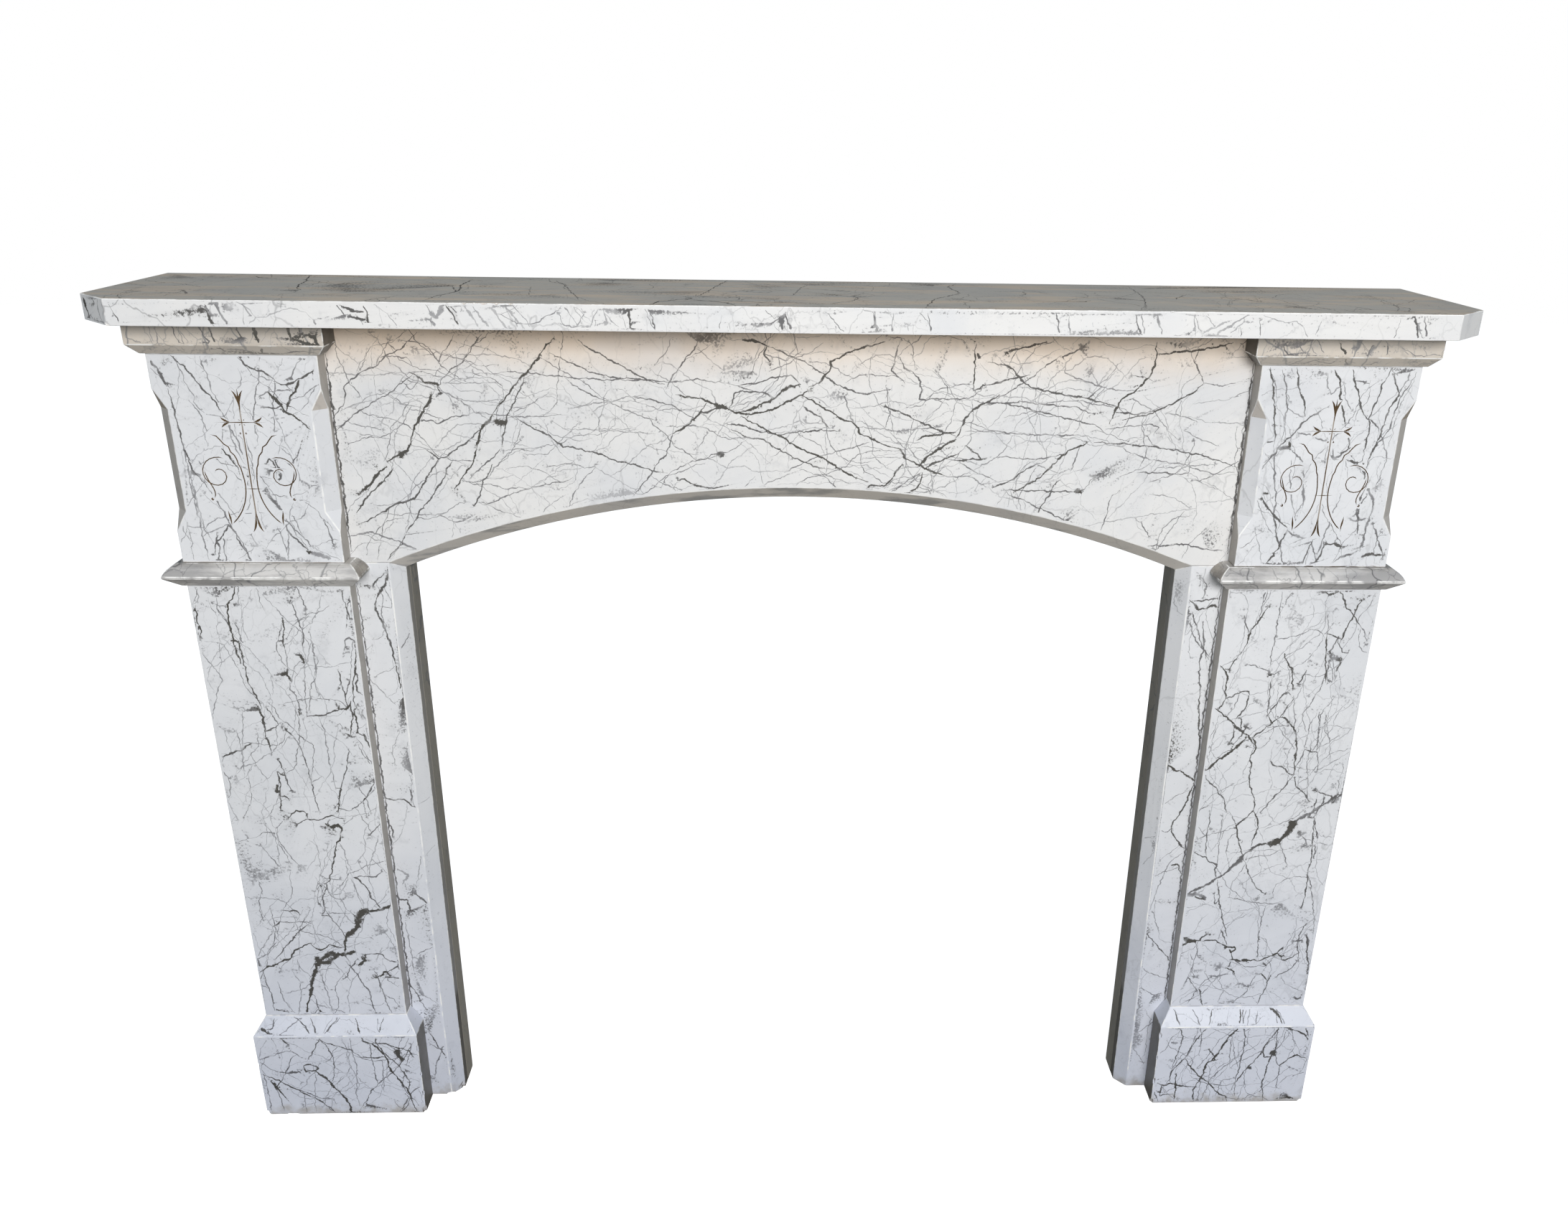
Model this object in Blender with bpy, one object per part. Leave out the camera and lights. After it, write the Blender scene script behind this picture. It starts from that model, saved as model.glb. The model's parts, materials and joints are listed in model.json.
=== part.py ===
"""Marble fireplace mantel: arched panel, two pilaster legs, corbel blocks and a shelf.

Metres, +Z up. The opening faces -Y and the back lies against a wall on +Y.
The origin is at the centre of the footprint, on the floor.
"""
import math

import bmesh
import bpy

# Clearance between neighbouring slabs
JOINT = 0.0003

# Heights of the courses, from the floor up
PLINTH_HEIGHT = 0.158
PLINTH_WEATHERING_HEIGHT = 0.024
PILASTER_HEIGHT = 0.627
NECKING_HEIGHT = 0.029
BLOCK_HEIGHT = 0.244
CAP_SPLAY_HEIGHT = 0.0115
CAP_FASCIA_HEIGHT = 0.0255
SHELF_THICKNESS = 0.0285

# Opening
OPENING_WIDTH = 0.945
SPRINGING_ABOVE_PILASTER = 0.022
ARCH_RISE = 0.096
ARRIS_CHAMFER = 0.0155
ARCH_SEGMENTS = 40

# Widths across the front
SLIP_FACE_WIDTH = 0.042
PILASTER_WIDTH = 0.190
BLOCK_SETBACK = 0.0015

# Depths, measured from the face of the frieze and jambs
DEPTH_TO_WALL = 0.169
PILASTER_PROJECTION = 0.020
BLOCK_PROJECTION = 0.023
SLAB_THICKNESS = 0.030
RETURN_THICKNESS = 0.025
REVEAL_DEPTH = 0.058
REVEAL_THICKNESS = 0.025

# Mouldings, measured out from the piece that they run round
PLINTH_PROJECTION = 0.015
NECKING_FOOT_PROJECTION = 0.004
NECKING_SPLAY_HEIGHT = 0.0135
NECKING_NOSE_PROJECTION = 0.019
NECKING_NOSE_HEIGHT = 0.0025
NECKING_TOP_PROJECTION = 0.005
NECKING_FULLNESS = 0.45
NECKING_SEGMENTS = 6
CAP_PROJECTION = 0.014
CAP_SPLAY = 0.010

# Stop chamfers on the front arrises of the blocks
STOP_CHAMFER = 0.014
STOP_MARGIN = 0.038
STOP_RUN = 0.0245

# Incised ornament on the blocks; its outline, groove widths and steps are in shares of its own height
ORNAMENT_HEIGHT = 0.168
ORNAMENT_FOOT_MARGIN = 0.038
GROOVE_WIDTH_SHARE = 0.009
GROOVE_STEP_SHARE = 0.0327
GROOVE_DEPTH_SHARE = 0.6
GROOVE_SWELL = 1.9
GROOVE_END_SHARE = 0.12
GROOVE_OPENING = 0.0003
VOLUTE_END = 0.86
DIMPLE_SIDES = 8
DIMPLE_FLOOR_SHARE = 0.4
DIMPLES = ((-0.276, 0.236, 0.011), (-0.019, 0.696, 0.0075))

# Shelf
SHELF_OVERHANG = 0.038
SHELF_CANT_WIDTH = 0.0445
SHELF_CANT_DEPTH = 0.0425

SHARP_ANGLE = math.radians(30)

# Levels
PLINTH_TOP = PLINTH_HEIGHT
PILASTER_TOP = PLINTH_TOP + PILASTER_HEIGHT
NECKING_TOP = PILASTER_TOP + NECKING_HEIGHT
BLOCK_TOP = NECKING_TOP + BLOCK_HEIGHT
CAP_TOP = BLOCK_TOP + CAP_SPLAY_HEIGHT + CAP_FASCIA_HEIGHT
SHELF_TOP = CAP_TOP + SHELF_THICKNESS
SPRINGING_HEIGHT = PILASTER_TOP + SPRINGING_ABOVE_PILASTER

# Distances from the centre line, on the +X side
REVEAL_X = OPENING_WIDTH / 2
ARRIS_X = REVEAL_X + ARRIS_CHAMFER
PILASTER_IN = ARRIS_X + SLIP_FACE_WIDTH
PILASTER_OUT = PILASTER_IN + PILASTER_WIDTH
BLOCK_IN = PILASTER_IN + BLOCK_SETBACK
BLOCK_OUT = PILASTER_OUT - BLOCK_SETBACK
LEG_RETURN_IN = PILASTER_OUT - RETURN_THICKNESS
BLOCK_RETURN_IN = BLOCK_OUT - RETURN_THICKNESS
SHELF_HALF = BLOCK_OUT + CAP_PROJECTION + SHELF_OVERHANG

# Depth planes: the shelf fills the whole depth and is centred on the origin
FRONT_REACH = BLOCK_PROJECTION + CAP_PROJECTION + SHELF_OVERHANG
SHELF_DEPTH = FRONT_REACH + DEPTH_TO_WALL
WALL_Y = SHELF_DEPTH / 2
FACE_Y = WALL_Y - DEPTH_TO_WALL
SLAB_BACK_Y = FACE_Y + SLAB_THICKNESS

# Arch through the arrises of the two jambs; the soffit line runs parallel inside it
ARCH_RADIUS = (ARRIS_X ** 2 + ARCH_RISE ** 2) / (2 * ARCH_RISE)
ARCH_CENTRE_Z = SPRINGING_HEIGHT + ARCH_RISE - ARCH_RADIUS
SOFFIT_RADIUS = ARCH_RADIUS - ARRIS_CHAMFER
SOFFIT_SPRINGING = ARCH_CENTRE_Z + math.sqrt(SOFFIT_RADIUS ** 2 - REVEAL_X ** 2)


def clear_scene():
    """Start from an empty scene."""
    for item in list(bpy.data.objects):
        bpy.data.objects.remove(item, do_unlink=True)


def marble(name, colour, roughness):
    """One plain marble material."""
    material = bpy.data.materials.new(name)
    material.use_nodes = True
    shader = material.node_tree.nodes["Principled BSDF"]
    shader.inputs["Base Color"].default_value = (*colour, 1.0)
    shader.inputs["Roughness"].default_value = roughness
    shader.inputs["Metallic"].default_value = 0.0
    material.diffuse_color = (*colour, 1.0)
    return material


def shelf_marble():
    """Dark warm top, where dust and smoke have settled."""
    return marble("shelf_marble", (0.56, 0.55, 0.53), 0.5)


def panel_marble():
    """White honed marble of the flat faces."""
    return marble("panel_marble", (0.80, 0.80, 0.83), 0.45)


def moulding_marble():
    """Slightly yellowed marble of the mouldings."""
    return marble("moulding_marble", (0.72, 0.69, 0.64), 0.45)


def inner_marble():
    """Grey, rougher marble inside the opening and on the returns."""
    return marble("inner_marble", (0.45, 0.44, 0.42), 0.6)


def loft(name, rings, material):
    """Closed solid through rings of equal length; doubled points close to a corner."""
    mesh = bpy.data.meshes.new(name)
    body = bmesh.new()
    levels = [[body.verts.new(point) for point in ring] for ring in rings]
    for lower, upper in zip(levels, levels[1:]):
        count = len(lower)
        for i in range(count):
            j = (i + 1) % count
            body.faces.new((lower[i], lower[j], upper[j], upper[i]))
    body.faces.new(list(reversed(levels[0])))
    body.faces.new(levels[-1])
    bmesh.ops.remove_doubles(body, verts=body.verts, dist=JOINT / 100)
    bmesh.ops.recalc_face_normals(body, faces=body.faces)
    body.to_mesh(mesh)
    body.free()
    mesh.materials.append(material)
    mesh.shade_smooth()
    mesh.set_sharp_from_angle(angle=SHARP_ANGLE)
    item = bpy.data.objects.new(name, mesh)
    bpy.context.scene.collection.objects.link(item)
    return item


def slab(name, x_range, y_range, z_range, material):
    """Plain rectangular slab between three pairs of planes."""
    outline = [(x_range[0], y_range[0]), (x_range[1], y_range[0]),
               (x_range[1], y_range[1]), (x_range[0], y_range[1])]
    return loft(name, [[(x, y, z) for x, y in outline] for z in z_range], material)


def across(side, near, far):
    """A pair of distances from the centre line as an increasing pair of X values."""
    return sorted((side * near, side * far))


def wrapped_ring(side, edges, out, z):
    """Plan of a moulding that runs from the panel round a leg and back to the wall.

    edges are the inner and outer faces that it runs round, their front plane and the
    inner face of the return slab; out is how far the moulding stands off them.
    """
    inner, outer, front_y, return_in = edges
    plan = [(inner - out, FACE_Y - JOINT), (inner - out, front_y - out),
            (outer + out, front_y - out), (outer + out, WALL_Y),
            (return_in, WALL_Y), (return_in, FACE_Y - JOINT)]
    return [(side * x, y, z) for x, y in plan]


def wrapped_moulding(name, side, edges, profile, material):
    """Moulding of one (projection, height) profile with mitred corners."""
    return loft(name, [wrapped_ring(side, edges, out, z) for out, z in profile], material)


def arc_points(radius):
    """Points of one arch line from the -X end to the +X end, at the half-width it springs from."""
    half = ARRIS_X if radius == ARCH_RADIUS else REVEAL_X
    start = math.asin(half / radius)
    steps = [start * (2 * i / ARCH_SEGMENTS - 1) for i in range(ARCH_SEGMENTS + 1)]
    return [(radius * math.sin(a), ARCH_CENTRE_Z + radius * math.cos(a)) for a in steps]


def faced_slab(name, face, full, side, material):
    """Slab whose front outline widens to the full one over the depth of the chamfer."""
    planes = ((face, FACE_Y), (full, FACE_Y + ARRIS_CHAMFER), (full, SLAB_BACK_Y))
    rings = [[(side * x, y, z) for x, z in outline] for outline, y in planes]
    return loft(name, rings, material)


def frieze(material):
    """Arched panel; its chamfered edge mitres with those of the jambs."""
    half = BLOCK_RETURN_IN - JOINT
    left_ends = [(-half, SPRINGING_HEIGHT), (-ARRIS_X, SPRINGING_HEIGHT)]
    right_ends = [(ARRIS_X, SPRINGING_HEIGHT), (half, SPRINGING_HEIGHT)]
    top = [(half, CAP_TOP), (-half, CAP_TOP)]
    face = left_ends + arc_points(ARCH_RADIUS) + right_ends + top
    full = left_ends + arc_points(SOFFIT_RADIUS) + right_ends + top
    return faced_slab("frieze", face, full, 1, material)


def jamb(name, side, material):
    """Slip slab beside the opening, from the floor to the mitre under the arch."""
    outer = LEG_RETURN_IN - JOINT
    top = SPRINGING_HEIGHT - JOINT
    mitre = SOFFIT_SPRINGING - JOINT
    ends = [(ARRIS_X, top), (outer, top), (outer, 0.0)]
    face = [(ARRIS_X, 0.0), (ARRIS_X, top)] + ends
    full = [(REVEAL_X, 0.0), (REVEAL_X, mitre)] + ends
    return faced_slab(name, face, full, side, material)


def reveal(name, side, material):
    """Short return slab behind the jamb, inside the opening."""
    return slab(name, across(side, REVEAL_X, REVEAL_X + REVEAL_THICKNESS),
                (SLAB_BACK_Y + JOINT, FACE_Y + REVEAL_DEPTH), (0.0, SPRINGING_HEIGHT - JOINT), material)


def leg_edges():
    """Faces that the plinth and necking run round."""
    return (PILASTER_IN, PILASTER_OUT, FACE_Y - PILASTER_PROJECTION, LEG_RETURN_IN)


def plinth(name, side, material):
    """Leg base with a sloped weathering that meets the faces of the pilaster."""
    shoulder = PLINTH_TOP - PLINTH_WEATHERING_HEIGHT
    profile = [(PLINTH_PROJECTION, 0.0), (PLINTH_PROJECTION, shoulder), (0.0, PLINTH_TOP)]
    return wrapped_moulding(name, side, leg_edges(), profile, material)


def pilaster(name, side, material):
    """Plain face slab of the leg, in front of the jamb and the leg return."""
    return slab(name, across(side, PILASTER_IN, PILASTER_OUT),
                (FACE_Y - PILASTER_PROJECTION, FACE_Y - JOINT), (PLINTH_TOP + JOINT, PILASTER_TOP), material)


def leg_return(name, side, material):
    """Outer side slab of the leg, back to the wall."""
    return slab(name, across(side, LEG_RETURN_IN, PILASTER_OUT),
                (FACE_Y, WALL_Y), (PLINTH_TOP + JOINT, PILASTER_TOP), material)


def necking_profile():
    """Splay out to a narrow nose, then a slightly full slope back to the underside of the block."""
    nose_low = PILASTER_TOP + NECKING_SPLAY_HEIGHT
    nose_high = nose_low + NECKING_NOSE_HEIGHT
    profile = [(NECKING_FOOT_PROJECTION, PILASTER_TOP + JOINT), (NECKING_NOSE_PROJECTION, nose_low)]
    for i in range(NECKING_SEGMENTS + 1):
        share = i / NECKING_SEGMENTS
        angle = math.pi / 2 * share
        inward = share + (1 - math.cos(angle) - share) * NECKING_FULLNESS
        upward = share + (math.sin(angle) - share) * NECKING_FULLNESS
        out = NECKING_NOSE_PROJECTION + (NECKING_TOP_PROJECTION - NECKING_NOSE_PROJECTION) * inward
        profile.append((out, nose_high + (NECKING_TOP - nose_high) * upward))
    return profile


def necking(name, side, material):
    """Moulded band between the pilaster and the block."""
    return wrapped_moulding(name, side, leg_edges(), necking_profile(), material)


def cut_away(piece, cutter):
    """Take the cutter's shape out of a piece."""
    cutter.hide_render = True
    cutter.display_type = "WIRE"
    modifier = piece.modifiers.new(cutter.name, "BOOLEAN")
    modifier.operation = "DIFFERENCE"
    modifier.solver = "EXACT"
    modifier.object = cutter


def stop_cutter(block, corner_x, corner_y, inward):
    """Wedge that takes the arris off between its two stops.

    The outline runs up the arris: nothing at the two ends, the full chamfer between
    the stops. It is drawn in the diagonal plane and pushed out both ways along the face
    of the chamfer.
    """
    low = NECKING_TOP + STOP_MARGIN
    high = BLOCK_TOP - STOP_MARGIN
    cut = STOP_CHAMFER / math.sqrt(2)
    outline = [(-cut, low - STOP_RUN), (cut, low + STOP_RUN), (cut, high - STOP_RUN), (-cut, high + STOP_RUN)]
    half = STOP_CHAMFER / math.sqrt(2)
    rings = []
    for push in (-half * 2, half * 2):
        ring = []
        for depth, z in outline:
            x = corner_x + inward * (depth + push) / math.sqrt(2)
            y = corner_y + (depth - push) / math.sqrt(2)
            ring.append((x, y, z))
        rings.append(ring)
    cut_away(block, loft(block.name + "_stop_cutter", rings, block.data.materials[0]))


def bezier(start, handle, second, end):
    """Points of a cubic curve through shares of the ornament, about one step apart."""
    reach = math.dist(start, handle) + math.dist(handle, second) + math.dist(second, end)
    count = max(4, round(reach / GROOVE_STEP_SHARE))
    points = []
    for i in range(count + 1):
        t = i / count
        weights = ((1 - t) ** 3, 3 * t * (1 - t) ** 2, 3 * (1 - t) * t ** 2, t ** 3)
        points.append(tuple(sum(w * p[k] for w, p in zip(weights, (start, handle, second, end)))
                            for k in (0, 1)))
    return points


def straight(start, end):
    """A straight stroke."""
    return [start, end]


def waved(points, waves, until, height):
    """A curve whose first part runs in small scallops, dying out at the given share."""
    result = []
    for i, (x, z) in enumerate(points):
        t = i / (len(points) - 1)
        fade = max(0.0, 1 - t / until)
        shift = height * min(1.0, 2 * fade) * abs(math.sin(math.pi * waves * t / until))
        result.append((x + shift, z + shift))
    return result


def volute(centre, start_radius, start_angle, turn):
    """Spiral that closes in on its centre, with steps that shrink with its radius."""
    points = []
    t = 0.0
    while t < VOLUTE_END:
        radius = start_radius * (1 - t)
        angle = start_angle + turn * t
        points.append((centre[0] + radius * math.cos(angle), centre[1] + radius * math.sin(angle)))
        t += GROOVE_STEP_SHARE / turn / max(radius, start_radius / 2)
    return points


def half_ornament():
    """Strokes on the -X side of the stem, each with its width and whether it swells."""
    leaf = waved(bezier((-0.223, 0.688), (0.02, 0.50), (0.0, 0.20), (-0.168, 0.060)), 4, 0.42, 0.012)
    return [
        (leaf, 1.15, False),
        (bezier((-0.185, 0.155), (-0.184, 0.12), (-0.172, 0.09), (-0.176, 0.044)), 1.7, True),
        (volute((-0.214, 0.411), 0.125, math.radians(64), math.radians(530)), 1.0, False),
        (bezier((-0.301, 0.44), (-0.296, 0.35), (-0.225, 0.30), (-0.262, 0.242)), 1.1, False),
        (bezier((-0.003, 0.145), (-0.004, 0.06), (-0.016, 0.025), (-0.037, 0.0)), GROOVE_SWELL, True),
        (bezier((-0.003, 0.885), (-0.005, 0.93), (-0.014, 0.965), (-0.037, 0.988)), GROOVE_SWELL, True),
        (bezier((-0.078, 0.774), (-0.104, 0.777), (-0.122, 0.787), (-0.138, 0.808)), GROOVE_SWELL, True),
        (bezier((-0.081, 0.768), (-0.104, 0.765), (-0.122, 0.755), (-0.138, 0.734)), GROOVE_SWELL, True),
        (straight((-0.009, 0.781), (-0.022, 0.794)), 0.8, False),
        (straight((-0.009, 0.761), (-0.022, 0.748)), 0.8, False),
    ]


def middle_ornament():
    """Strokes on or across the centre line of the ornament."""
    return [
        (straight((0.0, 0.83), (0.0, 0.10)), 1.0, False),
        (bezier((0.001, 0.84), (0.001, 0.89), (0.001, 0.94), (0.001, 1.0)), GROOVE_SWELL, True),
        (straight((-0.180, 0.771), (0.158, 0.771)), 1.05, False),
        (straight((-0.058, 0.31), (0.080, 0.31)), 0.9, False),
    ]


def dimple(block, index, centre_x, centre_z, radius):
    """Small drilled point, wider at the face than at its bottom."""
    front_y = FACE_Y - BLOCK_PROJECTION
    rings = []
    for depth, share in ((-GROOVE_OPENING, 1.0), (radius, DIMPLE_FLOOR_SHARE)):
        turns = [2 * math.pi * i / DIMPLE_SIDES for i in range(DIMPLE_SIDES)]
        rings.append([(centre_x + radius * share * math.cos(a), front_y + depth,
                       centre_z + radius * share * math.sin(a)) for a in turns])
    cut_away(block, loft(f"{block.name}_dimple_{index}", rings, block.data.materials[0]))


def groove(block, index, axis_x, stroke, mirror):
    """One V-shaped stroke cut into the face of a block."""
    path, width_share, swells = stroke
    foot_z = NECKING_TOP + ORNAMENT_FOOT_MARGIN
    front_y = FACE_Y - BLOCK_PROJECTION
    points = [(axis_x + mirror * x * ORNAMENT_HEIGHT, foot_z + z * ORNAMENT_HEIGHT) for x, z in path]
    if len(points) == 2:
        points.insert(1, tuple((a + b) / 2 for a, b in zip(*points)))
    rings = []
    last = len(points) - 1
    for i, (x, z) in enumerate(points):
        ahead = points[min(i + 1, last)]
        behind = points[max(i - 1, 0)]
        run = math.dist(ahead, behind)
        across_x = -(ahead[1] - behind[1]) / run
        across_z = (ahead[0] - behind[0]) / run
        full = math.sin(math.pi * i / last) if swells else min(1.0, 2 * min(i, last - i))
        half = GROOVE_WIDTH_SHARE * ORNAMENT_HEIGHT * width_share * max(full, GROOVE_END_SHARE) / 2
        rings.append([(x - across_x * half, front_y - GROOVE_OPENING, z - across_z * half),
                      (x + across_x * half, front_y - GROOVE_OPENING, z + across_z * half),
                      (x, front_y + 2 * half * GROOVE_DEPTH_SHARE, z)])
    cut_away(block, loft(f"{block.name}_groove_{index}", rings, block.data.materials[0]))


def ornament(block, axis_x):
    """Cross, leaves and volutes cut in fine lines, mirrored about the stem."""
    strokes = [(stroke, 1) for stroke in middle_ornament()]
    strokes += [(stroke, mirror) for mirror in (1, -1) for stroke in half_ornament()]
    for index, (stroke, mirror) in enumerate(strokes):
        groove(block, index, axis_x, stroke, mirror)
    foot_z = NECKING_TOP + ORNAMENT_FOOT_MARGIN
    for index, (x, z, radius) in enumerate(DIMPLES):
        for half, mirror in (("near", 1), ("far", -1)):
            dimple(block, f"{index}_{half}", axis_x + mirror * x * ORNAMENT_HEIGHT,
                   foot_z + z * ORNAMENT_HEIGHT, radius * ORNAMENT_HEIGHT)


def corbel_block(name, side, material):
    """Corbel block with a stop chamfer down each front arris."""
    front_y = FACE_Y - BLOCK_PROJECTION
    block = slab(name, across(side, BLOCK_IN, BLOCK_OUT),
                 (front_y, FACE_Y - JOINT), (NECKING_TOP + JOINT, BLOCK_TOP), material)
    stop_cutter(block, side * BLOCK_IN, front_y, side)
    stop_cutter(block, side * BLOCK_OUT, front_y, -side)
    ornament(block, side * (BLOCK_IN + BLOCK_OUT) / 2)
    return block


def block_return(name, side, material):
    """Outer side slab behind the block, back to the wall."""
    return slab(name, across(side, BLOCK_RETURN_IN, BLOCK_OUT),
                (FACE_Y, WALL_Y), (NECKING_TOP + JOINT, BLOCK_TOP), material)


def cap(name, side, material):
    """Square fascia over a splay, run round the top of the block."""
    edges = (BLOCK_IN, BLOCK_OUT, FACE_Y - BLOCK_PROJECTION, BLOCK_RETURN_IN)
    splay_top = BLOCK_TOP + CAP_SPLAY_HEIGHT
    profile = [(CAP_PROJECTION - CAP_SPLAY, BLOCK_TOP + JOINT), (CAP_PROJECTION, splay_top),
               (CAP_PROJECTION, CAP_TOP)]
    return wrapped_moulding(name, side, edges, profile, material)


def shelf(material):
    """Shelf slab with the two front corners canted off."""
    front_y = WALL_Y - SHELF_DEPTH
    front_half = SHELF_HALF - SHELF_CANT_WIDTH
    side_y = front_y + SHELF_CANT_DEPTH
    plan = [(-SHELF_HALF, WALL_Y), (-SHELF_HALF, side_y), (-front_half, front_y),
            (front_half, front_y), (SHELF_HALF, side_y), (SHELF_HALF, WALL_Y)]
    return loft("shelf", [[(x, y, z) for x, y in plan] for z in (CAP_TOP + JOINT, SHELF_TOP)], material)


def leg(side_name, side, panel, moulding, inner):
    """Every piece of one leg, from the plinth up to the cap."""
    jamb(side_name + "_jamb", side, panel)
    reveal(side_name + "_reveal", side, inner)
    plinth(side_name + "_plinth", side, panel)
    pilaster(side_name + "_pilaster", side, panel)
    leg_return(side_name + "_leg_return", side, inner)
    necking(side_name + "_necking", side, moulding)
    corbel_block(side_name + "_block", side, panel)
    block_return(side_name + "_block_return", side, inner)
    cap(side_name + "_cap", side, moulding)


def build():
    """The whole mantel."""
    clear_scene()
    panel = panel_marble()
    moulding = moulding_marble()
    inner = inner_marble()
    frieze(panel)
    leg("left", -1, panel, moulding, inner)
    leg("right", 1, panel, moulding, inner)
    shelf(shelf_marble())


build()
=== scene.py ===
"""Looks for the marble fireplace mantel: veined marble, incised ornament, wear, floor and light.

Metres, +Z up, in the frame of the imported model. Vein places are in millimetres.
"""
import json
import math

import bmesh
import bpy
import numpy as np
from mathutils import Matrix, Vector, noise
from mathutils.geometry import delaunay_2d_cdt


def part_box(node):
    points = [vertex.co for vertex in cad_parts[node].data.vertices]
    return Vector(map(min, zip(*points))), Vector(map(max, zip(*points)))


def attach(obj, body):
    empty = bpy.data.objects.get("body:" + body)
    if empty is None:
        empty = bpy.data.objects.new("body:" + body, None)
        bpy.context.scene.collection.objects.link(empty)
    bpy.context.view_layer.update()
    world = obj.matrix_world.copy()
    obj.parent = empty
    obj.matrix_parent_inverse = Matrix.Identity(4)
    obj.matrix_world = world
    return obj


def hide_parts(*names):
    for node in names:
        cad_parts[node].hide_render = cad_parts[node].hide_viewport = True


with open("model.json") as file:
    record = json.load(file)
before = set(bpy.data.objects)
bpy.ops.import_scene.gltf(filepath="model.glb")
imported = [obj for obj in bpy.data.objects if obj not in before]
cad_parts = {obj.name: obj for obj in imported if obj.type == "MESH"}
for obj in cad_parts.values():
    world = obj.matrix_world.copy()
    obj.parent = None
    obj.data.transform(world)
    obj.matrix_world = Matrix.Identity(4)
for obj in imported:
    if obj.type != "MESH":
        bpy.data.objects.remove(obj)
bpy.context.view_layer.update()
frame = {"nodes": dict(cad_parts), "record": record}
NODES = frame["nodes"]
SLOTS = {row["node"]: row["material_slot"] for row in frame["record"]["subparts"]}

# Camera, solved from the corners of the mantel in the photograph
IMAGE_WIDTH = 2184
SENSOR_WIDTH = 36.0
FOCAL_PIXELS = 1716.3
PRINCIPAL_SHIFT_PIXELS = 69.8
CAMERA_PLACE = Vector((-0.0103, -1.4628, 1.2991))
CAMERA_PITCH = math.radians(21.04)
CAMERA_YAW = math.radians(2.36)
CAMERA_ROLL = math.radians(1.01)
CAMERA_REACH = 50.0

# Studio: a light is its place, target, size, power and colour
FLOOR_HALF = 8.0
FLOOR_GAP = 0.001
FLOOR_GLOW = 0.97
FLOOR_ROUGHNESS = 0.9
FLOOR_PALE = (0.94, 0.94, 0.94, 1.0)
FLOOR_BOUNCE = (0.30, 0.29, 0.27, 1.0)
BACKDROP = (1, 1, 1, 1)
ROOM_LIGHT = (0.70, 0.86, 1.0, 1.0)
ROOM_STRENGTH = 0.20
FRONT_LIGHT = ((0.55, -4.2, 2.3), (0.0, 0.0, 0.8), (2.2, 1.5), 175.0, (1.0, 0.985, 0.965))
TOP_LIGHT = ((0.0, -0.6, 3.4), (0.0, -0.2, 0.0), (3.0, 2.4), 18.0, (1.0, 0.99, 0.975))

# Directions of flat faces
FRONT = (0.0, -1.0, 0.0)
UP = (0.0, 0.0, 1.0)
SHELF_CANT = (0.0425, -0.0445, 0.0)
CAP_SPLAY = (0.0, -0.0112, -0.010)
WEATHERING = (0.0, -0.848, 0.530)
CHAMFER = math.sqrt(0.5)

# Shape of the stone
MM = 1000.0
LEVEL, UPRIGHT = 1, 2
ARRIS_WIDTH = 0.0009
ARRIS_SEGMENTS = 2
SHARP_ANGLE = math.radians(25)
WELD_DISTANCE = 1e-6
PLANE_TOLERANCE = 0.0002
SAME_WAY = 0.9995
BLOCK_RIM = 0.02
ORNAMENT_HALF = 0.058
GROOVE_REACH = 0.0035
GROOVE_AREA = 6e-5
GROOVE_START = 1e-5
GROOVE_TILT = 0.995

# Veins and hairlines, in mm and degrees; a wave is its length and height
VEIN_STEP = 2.6
VEIN_MARGIN = 0.45
RIBBON_SHARE = 1.55
PLAIN_TONE = 0.4
BLOT_WIDTH = 4.0
WANDER = 0.8
WANDER_WAVES = ((31.0, 0.6), (13.0, 0.5), (8.0, 0.45))
WANDER_JITTER = 0.3
WANDER_EASE = 6.0
SWELL_WAVE = (23.0, 0.35)
SWELL_JITTER = 0.25
SWELL_RANGE = (0.5, 1.9)
TIP_SHARE = 0.25
TAPER_RATE = 5.0
BRANCH_CHANCE = 0.6
HAIRLINE_SPREAD = 16
HAIRLINE_STEPS = (3, 14)
HAIRLINE_STRIDE = (5, 13)
HAIRLINE_TURN = 0.28
HAIRLINE_WIDTH = (0.5, 1.05)
HAIRLINE_TONE = (0.22, 0.58)
FIELD_CELL = 24.0
NEARER_FIRST = 1e-3
MESH_TOLERANCE = 1e-4
NO_WIDTH = 1e-6
NO_LENGTH = 1e-9
NO_AREA = 1e-12

# Hairlines of each flat face: how many, and the ways they lean in degrees
HAIRLINES = {
    "frieze": (430, (25, 60, 155, 5)),
    "shelf_edge": (60, (110, 125)),
    "shelf_cant": (4, (110,)),
    "shelf_top": (110, (85, 60, 110)),
    "cap": (14, (100, 120, 60)),
    "cap_splay": (5, (100, 60)),
    "necking": (3, (20, 160)),
    "pilaster": (150, (80, 100, 50)),
    "plinth": (55, (80, 45, 130)),
    "weathering": (26, (80, 45, 130)),
    "jamb": (26, (70, 100, 40)),
    "jamb_chamfer": (8, (70, 100, 40)),
    "block": (45, (80, 110, 60)),
}
FRIEZE_SEED, SHELF_SEED, CAP_SEED, NECKING_SEED = 11, 12, 21, 31
SEED_STEP = 7

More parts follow.
